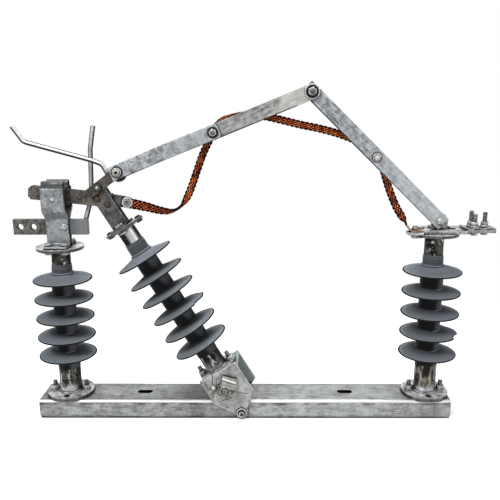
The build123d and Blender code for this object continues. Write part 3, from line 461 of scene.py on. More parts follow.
def copper(name):
    """Bare copper wires laid side by side in each strand, with a painted highlight on the crown where the
    strand passes over and black-brown painted shade where it dives under, and painted shade in corners.
    The strand's own map gives its wires: V goes round and U along it."""
    f = Finish(bpy.data.materials.new(name))
    round_it = f.parts(f.node("ShaderNodeUVMap", {"uv_map": "strand"}))[1]
    wires = f.math("SINE", round_it * (2 * math.pi * 16.0))
    crown = f.node("ShaderNodeAttribute", {"attribute_name": "lift"}, out="Fac")
    tarnish = f.noise(f.place, 160.0, 5, 0.65)
    patches = f.noise(f.place, 38.0, 3, 0.6)
    # The crown's lift with random tarnish: a painted highlight where it is high and painted shade where it is low.
    height = crown + (tarnish - 0.5) * 0.8 + (patches - 0.5) * 0.6
    colour = f.blend(f.level(height, 0.60, 0.90), (0.004, 0.0015, 0.001), (0.10, 0.014, 0.005))
    colour = f.blend(f.level(height, 0.86, 1.04), colour, (0.74, 0.17, 0.046))
    colour = f.blend(f.level(height, 1.06, 1.22) * 0.85, colour, (0.96, 0.56, 0.28))
    colour = f.blend((0.5 - wires * 0.5) * 0.35, colour, (0.03, 0.008, 0.005))
    # Painted shade in corners.
    corner = f.level(f.hollow(0.003), 0.2, 0.8)
    colour = f.blend(corner * 0.9, colour, (0.006, 0.0025, 0.002))
    lightness = f.level(f.node("ShaderNodeRGBToBW", None, {0: colour}), 0.02, 0.2)
    return f.close(colour, 0.62 - lightness * 0.26, lightness * 0.4, wires * 0.5 + tarnish * 0.4, 0.00012, 0.8,
                   specular=0.05)


# Painted shade on the sides of pieces that face down, and on lower rims.
underside = shaded_side((0, 0, -1), -0.05, 0.55, 0.93)
lower_rim = shaded_side((0, 0, -1), 0.2, 0.7, 0.9)

finishes = {
    "channel": zinc("channel_zinc", light=(0.46, 0.475, 0.48), dark=(0.17, 0.172, 0.172), scuff=(0.12, 1, 1),
                    grime_and_shade=0.8, rust=0.10, cloud=15.0, spangle=0.25, edge=0.6, scratch=1.0, rough=0.46,
                    clouded=0.6, contrast=1.15, marks=(channel_marks,)),
    # Saddle: a painted highlight along its top bend and dark lines of painted shade along its outline.
    "saddle": zinc("saddle_zinc", light=(0.44, 0.445, 0.43), dark=(0.20, 0.20, 0.19), grime_and_shade=0.9, rust=0.1,
                   cloud=40.0, spangle=0.3, edge=0.95, edge_colour=(0.92, 0.92, 0.92), scratch=0.6, rough=0.5,
                   marks=(line_mark((-39.5, 83.2), (-14.5, 74.2), 0.9, (0.90, 0.90, 0.90), 0.9),
                          line_mark((-44.5, 78.0), (-44.8, 56.0), 0.5, (0.03, 0.028, 0.025), 0.7),
                          line_mark((-39.0, 79.4), (-17.0, 71.6), 0.5, (0.02, 0.018, 0.016), 0.8),
                          line_mark((-39.0, 79.4), (-41.0, 62.0), 0.5, (0.02, 0.018, 0.016), 0.7),
                          line_mark((-14.6, 73.0), (-15.4, 58.0), 0.5, (0.03, 0.028, 0.025), 0.7))),
    # Bracket: the first six lines are painted shadow that the saddle casts on the plate; the rest are further dark
    # lines.
    "bracket": zinc("bracket_zinc", light=(0.46, 0.465, 0.45), dark=(0.17, 0.17, 0.163), grime_and_shade=0.9, rust=0.12,
                    cloud=30.0, spangle=0.35, edge=0.95, edge_colour=(0.92, 0.92, 0.92), scratch=0.6, rough=0.5,
                    contrast=1.2, edge_width=0.0026,
                    marks=(line_mark((-48.6, 77.5), (-48.8, 50.0), 0.5, (0.03, 0.028, 0.025), 0.45),
                           line_mark((-48.6, 77.5), (-40.2, 86.4), 0.5, (0.03, 0.028, 0.025), 0.45),
                           line_mark((-40.2, 86.4), (-12.6, 76.6), 0.5, (0.03, 0.028, 0.025), 0.45),
                           line_mark((-12.4, 76.0), (-12.0, 60.0), 0.5, (0.03, 0.028, 0.025), 0.45),
                           line_mark((-12.0, 60.0), (-20.0, 49.5), 0.5, (0.03, 0.028, 0.025), 0.45),
                           line_mark((-48.4, 50.0), (-40.5, 45.5), 0.5, (0.03, 0.028, 0.025), 0.45),
                           line_mark((-55.8, 85.0), (-55.9, 68.0), 0.5, (0.02, 0.018, 0.016), 0.9),
                           line_mark((-42.4, 46.2), (-22.0, 42.4), 0.5, (0.02, 0.018, 0.016), 0.9),
                           line_mark((-22.0, 42.4), (-42.8, 34.6), 0.5, (0.02, 0.018, 0.016), 0.9),
                           line_mark((-9.0, 52.0), (6.0, 50.0), 0.5, (0.02, 0.018, 0.016), 0.9),
                           line_mark((-30.0, 23.6), (-27.5, 22.6), 0.5, (0.01, 0.01, 0.01), 0.95, 0.0002),
                           tinted((0, 1, 0), -0.02, 0.01, (0.42, 0.48, 0.50), 0.85))),
    "flange": zinc("weld_zinc", light=(0.74, 0.75, 0.76), dark=(0.16, 0.16, 0.155), grime_and_shade=0.95, rust=0.1,
                   cloud=60.0, spangle=0.5, edge=0.8, scratch=0.6, rough=0.32, contrast=1.4),
    "jaw": zinc("jaw_plating", light=(0.36, 0.382, 0.398), dark=(0.135, 0.146, 0.155), grime_and_shade=0.95, cloud=45.0,
                spangle=0.5, edge=1.0, edge_colour=(0.86, 0.87, 0.88), scratch=0.6, rough=0.42, contrast=1.2,
                marks=(tinted((0, 0, -1), -0.345, -0.315, (0.36, 0.385, 0.40), 0.6),
                       tinted((0, 1, 0), 0.0, 0.004, (0.06, 0.062, 0.064), 0.7))),
    # Spring fingers: a painted highlight on the top bend and a light line of painted highlight below it.
    "spring": zinc("spring_plating", light=(0.15, 0.154, 0.15), dark=(0.05, 0.052, 0.05), grime_and_shade=1.0, cloud=30.0,
                   spangle=0.2, edge=0.7, edge_colour=(0.50, 0.515, 0.52), scratch=0.4, rough=0.40,
                   marks=(tinted((0, 0, 1), 0.4185, 0.4203, (0.20, 0.205, 0.21), 0.6),
                          line_mark((-334.0, 410.5), (-300.0, 410.5), 0.4, (0.70, 0.71, 0.72), 0.8))),
    "bar": zinc("bar_tarnish", light=(0.20, 0.192, 0.18), dark=(0.045, 0.042, 0.038), contrast=1.2, grime_and_shade=0.85, rust=0.25,
                cloud=34.0, spangle=0.5, edge=0.45, edge_colour=(0.42, 0.41, 0.39), scratch=0.5, rough=0.48,
                marks=(ring_line((-358.75, 341.5), 9.3, 0.45, (0.30, 0.29, 0.27), 0.35),
                       tinted((1, 0, 0), -0.306, -0.296, (0.135, 0.165, 0.185), 0.75),
                       tinted((1, 0, 0), -0.292, -0.278, (0.22, 0.215, 0.205), 0.8))),
    "blade": zinc("blade_tarnish", light=(0.16, 0.147, 0.130), dark=(0.042, 0.038, 0.034), contrast=1.3, grime_and_shade=0.85, rust=0.30,
                  cloud=38.0, spangle=0.5, edge=0.35, edge_colour=(0.36, 0.34, 0.32), scratch=0.5, rough=0.5),
    "cheek": zinc("cheek_zinc", light=(0.145, 0.145, 0.148), dark=(0.045, 0.045, 0.047), contrast=1.3, grime_and_shade=0.9, rust=0.08,
                  cloud=34.0, spangle=0.45, edge=0.95, edge_colour=(0.62, 0.62, 0.63), scratch=0.45, rough=0.45),
    "strap": zinc("strap_steel", light=(0.125, 0.115, 0.105), dark=(0.042, 0.039, 0.035), grime_and_shade=0.9, rust=0.3,
                  cloud=34.0, spangle=0.3, edge=0.4, edge_colour=(0.30, 0.29, 0.28), scratch=0.5, rough=0.5),
    "upper_strap": zinc("upper_strap_zinc", light=(0.50, 0.525, 0.55), dark=(0.17, 0.18, 0.193),
                        scuff=(0.5, 1, 1), scuff_turn=(0, math.radians(-22), 0), grime_and_shade=0.7, cloud=30.0,
                        spangle=0.8, edge=0.7, edge_colour=(0.88, 0.90, 0.92), scratch=0.8, rough=0.42,
                        contrast=1.4, clouded=0.5,
                        marks=(lower_edge(ARM_PIN, UPPER_DIR, -4, 176),
                               tinted((1, 0, 0), -0.14, -0.115, (0.33, 0.345, 0.36), 0.35),
                               line_mark((-190.0, 454.0), (-183.0, 433.0), 0.35, (0.12, 0.125, 0.13), 0.8))),
    "upper_bar": zinc("upper_bar_zinc", light=(0.47, 0.47, 0.46), dark=(0.15, 0.15, 0.15),
                      scuff=(0.1, 1, 1), scuff_turn=(0, math.radians(-22), 0), grime_and_shade=0.75, rust=0.04, cloud=24.0,
                      spangle=0.15, edge=0.6, scratch=1.0, rough=0.42, contrast=1.5, clouded=0.4,
                      marks=(tinted((-1, 0, 0), 0.03, 0.05, (0.15, 0.15, 0.15), 0.6),
                             tinted((1, 0, 0), 0.055, 0.065, (0.60, 0.59, 0.565), 0.6),
                             lower_edge(ARM_PIN, UPPER_DIR, 150, 312))),
    "lower_arm": zinc("lower_arm_zinc", light=(0.48, 0.508, 0.535), dark=(0.15, 0.158, 0.168),
                      scuff=(0.14, 1, 1), scuff_turn=(0, math.radians(44), 0), grime_and_shade=0.8, cloud=26.0,
                      spangle=0.4, edge=0.75, edge_colour=(0.88, 0.90, 0.92), scratch=0.85, rough=0.40,
                      contrast=1.4, clouded=0.4,
                      marks=(lower_edge(KNEE, LOWER_DIR, 8, 292),
                             line_mark((296.0, 371.9), (309.3, 384.3), 0.5, (0.72, 0.75, 0.77), 0.4),
                             tinted((-0.72, 0, 0.69), 0.305, 0.330, (0.12, 0.125, 0.13), 0.7),
                             line_mark((128.0, 561.0), (143.0, 548.5), 0.5, (0.62, 0.64, 0.66), 0.7),
                             line_mark((133.0, 553.0), (137.0, 549.0), 0.6, (0.02, 0.02, 0.02), 0.8),
                             line_mark((160.0, 528.0), (170.0, 503.0), 0.4, (0.14, 0.145, 0.15), 0.7),
                             tinted((0.72, 0, -0.69), -0.20, -0.06, (0.60, 0.64, 0.68), 0.35))),
    # Horn rods: the light tone stands for a painted highlight along the middle, with painted shade on the sides above
    # and below; on the upright rod the painted shade lies left and right.
    "rod": zinc("horn_rod_zinc", light=(0.95, 0.955, 0.96), dark=(0.6, 0.605, 0.61), outline=0.0, grime_and_shade=0.85, cloud=40.0,
                spangle=0.15, edge=0.0, scratch=0.4, rough=0.4, metal=0.3, gloss=0.0,
                marks=(shaded_side((0, -0.2345, -0.972), 0.05, 0.42, 0.97, ragged=0.08),
                       shaded_side((0, 0.2345, 0.972), 0.50, 0.70, 0.97, ragged=0.08))),
    "upright_rod": zinc("upright_rod_zinc", light=(0.66, 0.665, 0.67), dark=(0.34, 0.345, 0.35), outline=0.0, grime_and_shade=0.85,
                        cloud=40.0, spangle=0.15, edge=0.0, scratch=0.4, rough=0.4, metal=0.3, gloss=0.0,
                        marks=(shaded_side((-1, 0, 0), 0.35, 0.62, 0.96, ragged=0.1),
                               shaded_side((1, 0, 0), 0.50, 0.72, 0.96, ragged=0.1))),
    # Painted shade on the nuts' lower rims.
    "nut": zinc("nut_zinc", light=(0.66, 0.655, 0.64), dark=(0.16, 0.155, 0.148), grime_and_shade=1.0, rust=0.1,
                cloud=120.0, spangle=0.3, edge=0.8, edge_colour=(0.80, 0.80, 0.78), scratch=0.3, rough=0.30,
                reach=0.006, contrast=1.3, marks=(lower_rim,)),
    # Thin dark discs round washers and nuts: painted shade.
    "shade_ring": zinc("painted_shade_ring", light=(0.035, 0.033, 0.03), dark=(0.012, 0.011, 0.010), grime_and_shade=1.0,
                      rust=0.2, cloud=90.0, spangle=0.3, edge=0.0, scratch=0.3, rough=0.5, reach=0.006),
    "washer": zinc("washer_zinc", light=(0.86, 0.87, 0.87), dark=(0.42, 0.42, 0.415), grime_and_shade=1.0, rust=0.08,
                   cloud=120.0, spangle=0.3, edge=0.9, scratch=0.4, rough=0.28, reach=0.006),
    "thread": zinc("thread_zinc", light=(0.30, 0.295, 0.285), dark=(0.02, 0.019, 0.018), grime_and_shade=1.0, rust=0.2,
                   cloud=160.0, spangle=0.2, edge=0.6, scratch=0.3, rough=0.32, reach=0.004, contrast=1.4),
    "brown_bolt": zinc("rusted_fastener", light=(0.17, 0.12, 0.085), dark=(0.045, 0.03, 0.02), grime_and_shade=1.0,
                       rust=0.7, cloud=120.0, spangle=0.2, edge=0.4, edge_colour=(0.30, 0.27, 0.24),
                       scratch=0.3, rough=0.42, reach=0.006),
    # Painted highlight on the rim's edges and painted shade underneath.
    "shaft_rim": zinc("shaft_rim_steel", light=(0.50, 0.49, 0.47), dark=(0.12, 0.11, 0.10), grime_and_shade=1.0, rust=0.2,
                      cloud=60.0, spangle=0.2, edge=0.95, edge_colour=(0.92, 0.92, 0.92), scratch=0.4, rough=0.36,
                      contrast=1.3, reach=0.006,
                      marks=(shaded_side((0.3, 0, -1), 0.1, 0.5, 0.9, ragged=0.2),)),
    "shaft": zinc("shaft_steel", light=(0.27, 0.235, 0.195), dark=(0.10, 0.082, 0.062), grime_and_shade=0.9, rust=0.5,
                  cloud=60.0, spangle=0.2, edge=0.85, scratch=0.4, rough=0.42),
    # Painted shade on the terminal plate's lower rims.
    "terminal": zinc("terminal_zinc", light=(0.72, 0.72, 0.71), dark=(0.10, 0.098, 0.092), grime_and_shade=1.0,
                     rust=0.18, cloud=55.0, spangle=0.5, edge=0.9, edge_colour=(0.88, 0.89, 0.89), scratch=0.6,
                     rough=0.40, contrast=1.4, marks=(lower_rim, tinted((1, 0, 0), 0.368, 0.376, (0.16, 0.158, 0.15), 0.6))),
    "tinned": zinc("tinned_copper", light=(0.40, 0.30, 0.21), dark=(0.13, 0.075, 0.045), grime_and_shade=0.9, rust=0.2,
                   cloud=70.0, spangle=0.2, edge=0.7, scratch=0.4, rough=0.38),
    "left_column": column_zinc("left_column_zinc", at(LEFT_X, 0, DECK), TOP, (0, 0, 0), (0.19, 0.185, 0.16), 0.9,
                               0.5),
    "right_column": column_zinc("right_column_zinc", at(RIGHT_X, 0, DECK), TOP, (0, 0, 0), (0.30, 0.285, 0.22), 0.9,
                                0.12),
    "rocker_column": column_zinc("rocker_column_zinc", on_rocker(ROCKER_OFFSET, STIRRUP_DECK), UPWARD,
                                 (0, -TILT, 0), (0.30, 0.295, 0.27), 0.5, 0.95, True),
    "left_shed": silicone("left_silicone", at(LEFT_X, 0, DECK), TOP, (0, 0, 0), 50.0, 213.0),
    "right_shed": silicone("right_silicone", at(RIGHT_X, 0, DECK), TOP, (0, 0, 0), 50.0, 228.0),
    "rocker_shed": silicone("rocker_silicone", on_rocker(ROCKER_OFFSET, STIRRUP_DECK), UPWARD, (0, -TILT, 0),
                            51.2, 243.0),
    "copper": copper("braid_copper"),
}
BOLT_SET = [finishes["nut"], finishes["washer"], finishes["thread"], finishes["shade_ring"]]

# Surfaces


class Form:
    """Vertices and faces of one piece, gathered from several surfaces; paint picks the finish of the next."""

    def __init__(self):
        self.points, self.faces, self.maps, self.lifts, self.paints = [], [], [], [], []
        self.count, self.paint = 0, 0

    def grid(self, points, capped=True, uv=None, lift=None):
        """A sheet of points, rows by columns, whose last column joins its first; capped closes both end
        rows, each with a fan about its middle."""
        rows, columns = points.shape[:2]
        index = self.count + np.arange(rows * columns).reshape(rows, columns)
        left, right = index[:-1], index[1:]
        quads = np.stack([left, np.roll(left, -1, 1), np.roll(right, -1, 1), right], -1).reshape(-1, 4)
        faces = quads.tolist()
        flat = np.zeros((rows * columns, 2)) if uv is None else uv.reshape(-1, 2)
        raised = np.ones(rows * columns) if lift is None else lift.ravel()
        self.points.append(points.reshape(-1, 3))
        self.maps.append(flat)
        self.lifts.append(raised)
        self.count += rows * columns
        for row, flip in ((0, True), (rows - 1, False)) if capped else ():
            ring = index[row]
            self.points.append(points[row].mean(0)[None])
            self.maps.append(flat[:1])
            self.lifts.append(raised[:1])
            fan = np.stack([ring, np.roll(ring, -1), np.full(columns, self.count)], 1)
            self.count += 1
            faces += (fan[:, ::-1] if flip else fan).tolist()
        self.faces += faces
        self.paints += [self.paint] * len(faces)

    def turned(self, profile, place, axis, turns=48, outline=None, helix=None):
        """A profile of (radius, height) rows turned about an axis. outline(angle, height) caps the radius, as
        flats cap a hexagon, and helix(angle, height) is added to it, as a thread is."""
        radius, height = np.asarray(profile, float).T
        axis = unit(axis)
        side = unit(np.cross(axis, [0.137, 0.311, 0.94] if abs(axis[2]) < 0.9 else [0.0, 1.0, 0.0]))
        other = np.cross(axis, side)
        angle = np.arange(turns) * 2 * math.pi / turns
        r = np.repeat(radius[:, None], turns, 1)
        h = np.repeat(height[:, None], turns, 1)
        a = np.repeat(angle[None], len(radius), 0)
        if outline is not None:
            r = np.minimum(r, outline(a, h))
        if helix is not None:
            r = r + helix(a, h)
        points = (np.asarray(place)[None, None] + side * (r * np.cos(a))[..., None]
                  + other * (r * np.sin(a))[..., None] + axis * h[..., None])
        self.grid(points)

    def nut(self, place, axis, radius, height, turn=0.0):
        """A hexagon with its corners chamfered by a cone at both ends."""
        def hexagon(a, h):
            sector = np.mod(a + turn, math.pi / 3) - math.pi / 6
            flat = radius * math.cos(math.pi / 6) / np.cos(sector)
            cone = radius - np.maximum(0, 0.14 * radius - np.minimum(h, height - h)) * 1.2
            return np.minimum(flat, cone)
        inner = radius * 0.8
        rows = [(inner, 0), (radius, 0), (radius, 0.14 * radius), (radius, height / 2),
                (radius, height - 0.14 * radius), (radius, height), (inner, height)]
        self.turned(rows, place, axis, 60, hexagon)

    def washer(self, place, axis, radius, height):
        """A flat ring with rounded rims."""
        e = min(height * 0.3, 0.0004)
        self.turned([(radius * 0.5, 0), (radius - e, 0), (radius, e), (radius, height - e), (radius - e, height),
                     (radius * 0.5, height)], place, axis, 48)

    def spring_ring(self, place, axis, radius, height):
        """A split ring: a square section carried round an axis while it climbs by a quarter of its height."""
        axis = unit(axis)
        side = unit(np.cross(axis, [0.3, 0.2, 0.9] if abs(axis[2]) < 0.9 else [0, 1, 0]))
        other = np.cross(axis, side)
        a = np.linspace(0.12, 2 * math.pi - 0.12, 40)
        climb = height * 0.25 * a / (2 * math.pi)
        rows = []
        for r, t in ((radius * 0.6, 0), (radius * 0.6, 1), (radius, 1), (radius, 0)):
            h = climb + t * height * 0.75
            rows.append(np.asarray(place) + side * (r * np.cos(a))[:, None] + other * (r * np.sin(a))[:, None]
                        + axis * h[:, None])
        self.grid(np.stack(rows, 1))

    def stud(self, place, axis, radius, length, pitch=0.00125):
        """A rod whose radius goes in and out as a triangle wave of height over pitch less angle: a thread.
        Its last millimetre tapers to a chamfered end."""
        rows = max(6, int(length / pitch * 5))
        height = np.linspace(0, length, rows)
        taper = np.where(height > length - 0.001, (height - length + 0.001) * 0.9, 0)
        profile = np.stack([radius - taper, height], 1)

        def thread(a, h):
            phase = np.mod(h / pitch - a / (2 * math.pi), 1.0)
            fade = np.clip((length - 0.0012 - h) / 0.001, 0, 1)
            return -radius * 0.13 * np.abs(2 * phase - 1) * fade
        self.turned(profile, place, axis, 24, helix=thread)

    def tube(self, path, radius, sides=12):
        """A circle carried along a path, square to it."""
        path = np.asarray(path, float)
        ahead = np.gradient(path, axis=0)
        ahead /= np.linalg.norm(ahead, axis=1)[:, None]
        side = np.cross(ahead, BACK)
        side /= np.linalg.norm(side, axis=1)[:, None]
        other = np.cross(ahead, side)
        a = np.arange(sides) * 2 * math.pi / sides
        points = (path[:, None] + side[:, None] * (radius * np.cos(a))[None, :, None]
                  + other[:, None] * (radius * np.sin(a))[None, :, None])
        self.grid(points)

    def strip(self, path, wide, width, thick, corner=0.0006):
        """A flat bar: a rectangle with rounded corners carried along a path. wide is the direction of its
        width; the thickness is square to that and to the path."""
        path = np.asarray(path, float)
        wide = unit(wide)
        ahead = np.gradient(path, axis=0)
        ahead /= np.linalg.norm(ahead, axis=1)[:, None]
        proud = np.cross(ahead, wide)
        proud /= np.linalg.norm(proud, axis=1)[:, None]
        quarter = np.linspace(0, math.pi / 2, 4)
        outline = []
        width = np.broadcast_to(np.asarray(width, float), (len(path),))
        for k, (sx, sy) in enumerate(((1, 1), (-1, 1), (-1, -1), (1, -1))):
            a = quarter + k * math.pi / 2
            u = sx * (width[:, None] / 2 - corner) + corner * np.cos(a)
            v = sy * (thick / 2 - corner) + corner * np.sin(a)
            outline.append(np.stack([u, np.broadcast_to(v, u.shape)], -1))
        outline = np.concatenate(outline, 1)
        points = path[:, None] + wide * outline[..., :1] + proud[:, None] * outline[..., 1:]
        self.grid(points)

    def bead(self, place, axis, radius, thick, seed=0.0):
        """A weld bead: a small circle carried round a big one, its size rippling as the welder's steps do."""
        axis = unit(axis)
        side = unit(np.cross(axis, [0.3, 0.2, 0.9] if abs(axis[2]) < 0.9 else [0, 1, 0]))
        other = np.cross(axis, side)
        a = np.linspace(0, 2 * math.pi, 181)
        size = thick * (1 + 0.16 * np.sin(58 * a + seed) + 0.18 * np.sin(5 * a + 2 * seed) + 0.1 * np.sin(11 * a))
        b = np.arange(10) * 2 * math.pi / 10
        out = side * np.cos(a)[:, None] + other * np.sin(a)[:, None]
        points = (np.asarray(place) + out[:, None] * (radius + size[:, None] * np.cos(b))[..., None]
                  + axis * (size[:, None] * np.sin(b))[..., None])
        self.grid(points, capped=False)

    def finish(self, name, materials, body, replaces=(), slot=None, sharp=32.0):
        """Makes the mesh, its map and its lift values, and gives it its body and replaced nodes. The slot is not used.
        """
        mesh = bpy.data.meshes.new(name)
        mesh.from_pydata(np.concatenate(self.points).tolist(), [], self.faces)
        layer = mesh.uv_layers.new(name="strand")
        corners = np.empty(len(mesh.loops), np.int32)
        mesh.loops.foreach_get("vertex_index", corners)
        layer.data.foreach_set("uv", np.concatenate(self.maps)[corners].astype(np.float32).ravel())
        lift = mesh.attributes.new("lift", "FLOAT", "POINT")
        lift.data.foreach_set("value", np.concatenate(self.lifts).astype(np.float32))
        for material in materials if isinstance(materials, list) else [materials]:
            mesh.materials.append(material)
        mesh.polygons.foreach_set("material_index", np.array(self.paints, np.int32))
        merge(mesh)
        mesh.shade_smooth()
        mesh.set_sharp_from_angle(angle=math.radians(sharp))
        piece = bpy.data.objects.new(name, mesh)
        bpy.context.scene.collection.objects.link(piece)
        if body:
            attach(piece, body)
        if replaces:
            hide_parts(*replaces)
        return piece


def merge(mesh):
    """Closes seams and poles, and turns every closed surface outwards."""
    work = bmesh.new()
    work.from_mesh(mesh)
    bmesh.ops.remove_doubles(work, verts=work.verts, dist=1e-6)
    bmesh.ops.recalc_face_normals(work, faces=work.faces)
    work.to_mesh(mesh)
    work.free()


# Camera: it looks along the photograph's axis, a little down


def set_camera():
    pitch, yaw, roll = math.radians(13.57), math.radians(0.514), math.radians(0.202)
    right = np.array([math.cos(yaw), math.sin(yaw), 0.0])
    ahead = np.array([-math.sin(yaw) * math.cos(pitch), math.cos(yaw) * math.cos(pitch), -math.sin(pitch)])
    above = np.cross(right, ahead)
    data = bpy.data.cameras.new("photo_camera")
    data.sensor_width = 36.0
    data.lens = 36.0 * 596.64 / 500.0
    data.clip_start, data.clip_end = 0.05, 30.0
    camera = bpy.data.objects.new("photo_camera", data)
    bpy.context.scene.collection.objects.link(camera)
    basis = np.eye(4)
    basis[:3, 0] = right * math.cos(roll) - above * math.sin(roll)
    basis[:3, 1] = right * math.sin(roll) + above * math.cos(roll)
    basis[:3, 2] = -ahead
    basis[:3, 3] = (0.01935, -0.99944, 0.54108)
    camera.matrix_world = Matrix(basis.tolist())
    bpy.context.scene.camera = camera


set_camera()

# The copper braid in three spans, each between two moving bodies; points in millimetres

ROUTES = {
    "braid_rocker": [(-205.88, -4, 384.83), (-166.88, -4, 377.53), (-143.88, -4, 370.03), (-121.88, -4, 367.53),
                     (-105.04, -4, 375.96), (-94.04, -4, 392.96), (-86.04, -4, 411.96), (-76.04, -4, 439.96),
                     (-64.04, -4, 471.96), (-49.04, -4, 499.46)],
    "braid_middle": [(-49.04, -4, 499.46), (-39.46, -4, 517.02), (-17.96, -4, 527.02), (4.04, -4, 530.52),
                     (30.04, -4, 526.02), (60.04, -4, 519.52), (93.04, -4, 511.02), (128.04, -4, 504.52),
                     (165.04, -4, 494.02), (196.99, -4, 480.46), (219.39, -4, 458.56)],
    "braid_terminal": [(219.39, -4, 458.56), (229.04, -4, 449.12), (235.5, -4, 427), (245, -5, 400),
                       (255, -10, 376), (264, -18, 360.5), (270.5, -24, 350)],
}


def smooth_route(points):
    """(even points, total length) of the smooth line that the route's points pull."""
    curve = bpy.data.curves.new("route", "CURVE")
    curve.dimensions = "3D"
    curve.resolution_u = 24
    spline = curve.splines.new("NURBS")
    spline.points.add(len(points) - 1)
    for target, place in zip(spline.points, points):
        target.co = (*[c * MM for c in place], 1.0)
    spline.order_u = 3
    spline.use_endpoint_u = True
    holder = bpy.data.objects.new("route", curve)
    bpy.context.scene.collection.objects.link(holder)
    bpy.context.view_layer.update()
    line = bpy.data.meshes.new_from_object(holder)
    dots = np.array([v.co for v in line.vertices], float)
    bpy.data.objects.remove(holder)
    bpy.data.meshes.remove(line)
    step = np.linalg.norm(np.diff(dots, axis=0), axis=1)
    dots = dots[np.concatenate([[True], step > 1e-9])]
    along = np.concatenate([[0], np.cumsum(np.linalg.norm(np.diff(dots, axis=0), axis=1))])
    even = np.linspace(0, along[-1], int(along[-1] / 0.0010))
    return np.stack([np.interp(even, along, dots[:, k]) for k in range(3)], 1), along[-1]


def smooth_step(x, low, high):
    t = np.clip((x - low) / (high - low), 0, 1)
    return t * t * (3 - 2 * t)


def plait(name, twist, first, squeeze_at, width_at):
    """A flat tubular braid: two families of strands wind opposite ways round a flattened loop, and a
    cosine of the distance takes each over and under the other family. twist(share) turns the loop about
    the line, and squeeze_at(share) flattens it where it is pressed. lift is 1 on a strand's crown where it
    passes over, and falls to 0 at its sides and where it dives: the copper finish paints it as a highlight
    on the crowns and as shade at the sides and in the dives."""
    line, length = smooth_route(ROUTES[name])
    share = np.linspace(0, 1, len(line))
    ahead = np.gradient(line, axis=0)
    ahead /= np.linalg.norm(ahead, axis=1)[:, None]
    front = FRONT - ahead * (ahead @ FRONT)[:, None]
    front /= np.linalg.norm(front, axis=1)[:, None]
    wide = np.cross(ahead, front)
    turn = twist(share)[:, None]
    proud = front * np.cos(turn) + wide * np.sin(turn)
    wide = np.cross(ahead, proud)
    distance = share * length + first
    carriers, lay = 6, 0.046
    squeeze = squeeze_at(share)
    half_width, half_depth = 0.0053 * width_at(share), 0.00115 * squeeze
    form = Form()
    sides = 10
    around = np.arange(sides) * 2 * math.pi / sides
    for family in (1, -1):
        for strand in range(carriers):
            loop = np.mod(family * distance / lay + strand / carriers, 1.0)
            swing = np.sin((loop - 0.25) * 2 * math.pi)
            across = half_width * (0.80 * (1 - 4 * np.abs(loop - 0.5)) + 0.20 * swing)
            face = np.tanh(np.sin(loop * 2 * math.pi) * 3.0)
            outness = family * np.cos(2 * math.pi * carriers * distance / lay)
            depth = face * (half_depth + 0.0006 * outness * squeeze)
            centre = line + wide * across[:, None] + proud * depth[:, None]
            lead = np.gradient(centre, axis=0)
            lead /= np.linalg.norm(lead, axis=1)[:, None]
            up = proud - lead * (lead * proud).sum(1)[:, None]
            up /= np.linalg.norm(up, axis=1)[:, None]
            side = np.cross(lead, up)
            points = (centre[:, None] + side[:, None] * (0.00168 * np.cos(around))[None, :, None]
                      + up[:, None] * ((0.00085 * squeeze)[:, None] * np.sin(around))[..., None])
            # lift: a painted highlight on a strand's crown where it passes over, painted shade at its sides and where
            # it dives.
            crown = np.clip(face[:, None] * np.sin(around)[None] * 1.15, 0, 1)
            limit = 1 - 0.22 * smooth_step(np.abs(across) / half_width, 0.72, 1.0)
            lift = crown * (0.10 + 0.90 * smooth_step(outness, -0.55, 0.65))[:, None] * limit[:, None]
            uv = np.stack(np.broadcast_arrays(distance[:, None] / 0.01, np.arange(sides)[None] / sides), -1)
            form.grid(points, uv=uv, lift=lift)
    # Painted shade: a dark core seen through the gaps between the strands.
    filler = (line[:, None] + wide[:, None] * (half_width[:, None] * 1.10 * np.cos(around))[..., None]
              + proud[:, None] * (0.00085 * np.sin(around))[None, :, None])
    form.grid(filler, lift=np.full(filler.shape[:2], 0.80))
    piece = form.finish(name + "_plait", finishes["copper"], None, (name,), "copper_braid", sharp=60)
    return piece, line, length


def bump_at(share, middle, spread):
    return np.exp(-((share - middle) / spread) ** 2)


def add_braids():
    spans = (
        ("braid_rocker", lambda s: 1.5 * bump_at(s, 0.415, 0.085) - 0.2 * bump_at(s, 0.75, 0.2), "rocker",
         "upper_arm", 0.0, lambda s: 0.7 + 0.3 * smooth_step(s, 0.0, 0.08),
         lambda s: 1.45 - 0.45 * smooth_step(s, 0.06, 0.36)),
        ("braid_middle", lambda s: -1.42 * bump_at(s, 0.17, 0.11) + 0.15 * bump_at(s, 0.6, 0.2), "upper_arm",
         "knee", 0.24, lambda s: 1 + 0 * s, lambda s: 1 + 0 * s),
        ("braid_terminal", lambda s: -1.45 * smooth_step(s, 0.86, 1.0), "lower_arm", "base", 0.53,
         lambda s: 1 - 0.3 * smooth_step(s, 0.9, 1.0), lambda s: 1 + 0 * s),
    )
    for name, twist, near, far, first, squeeze_at, width_at in spans:
        piece, line, length = plait(name, twist, first, squeeze_at, width_at)
        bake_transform(piece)


add_braids()

# Insulators


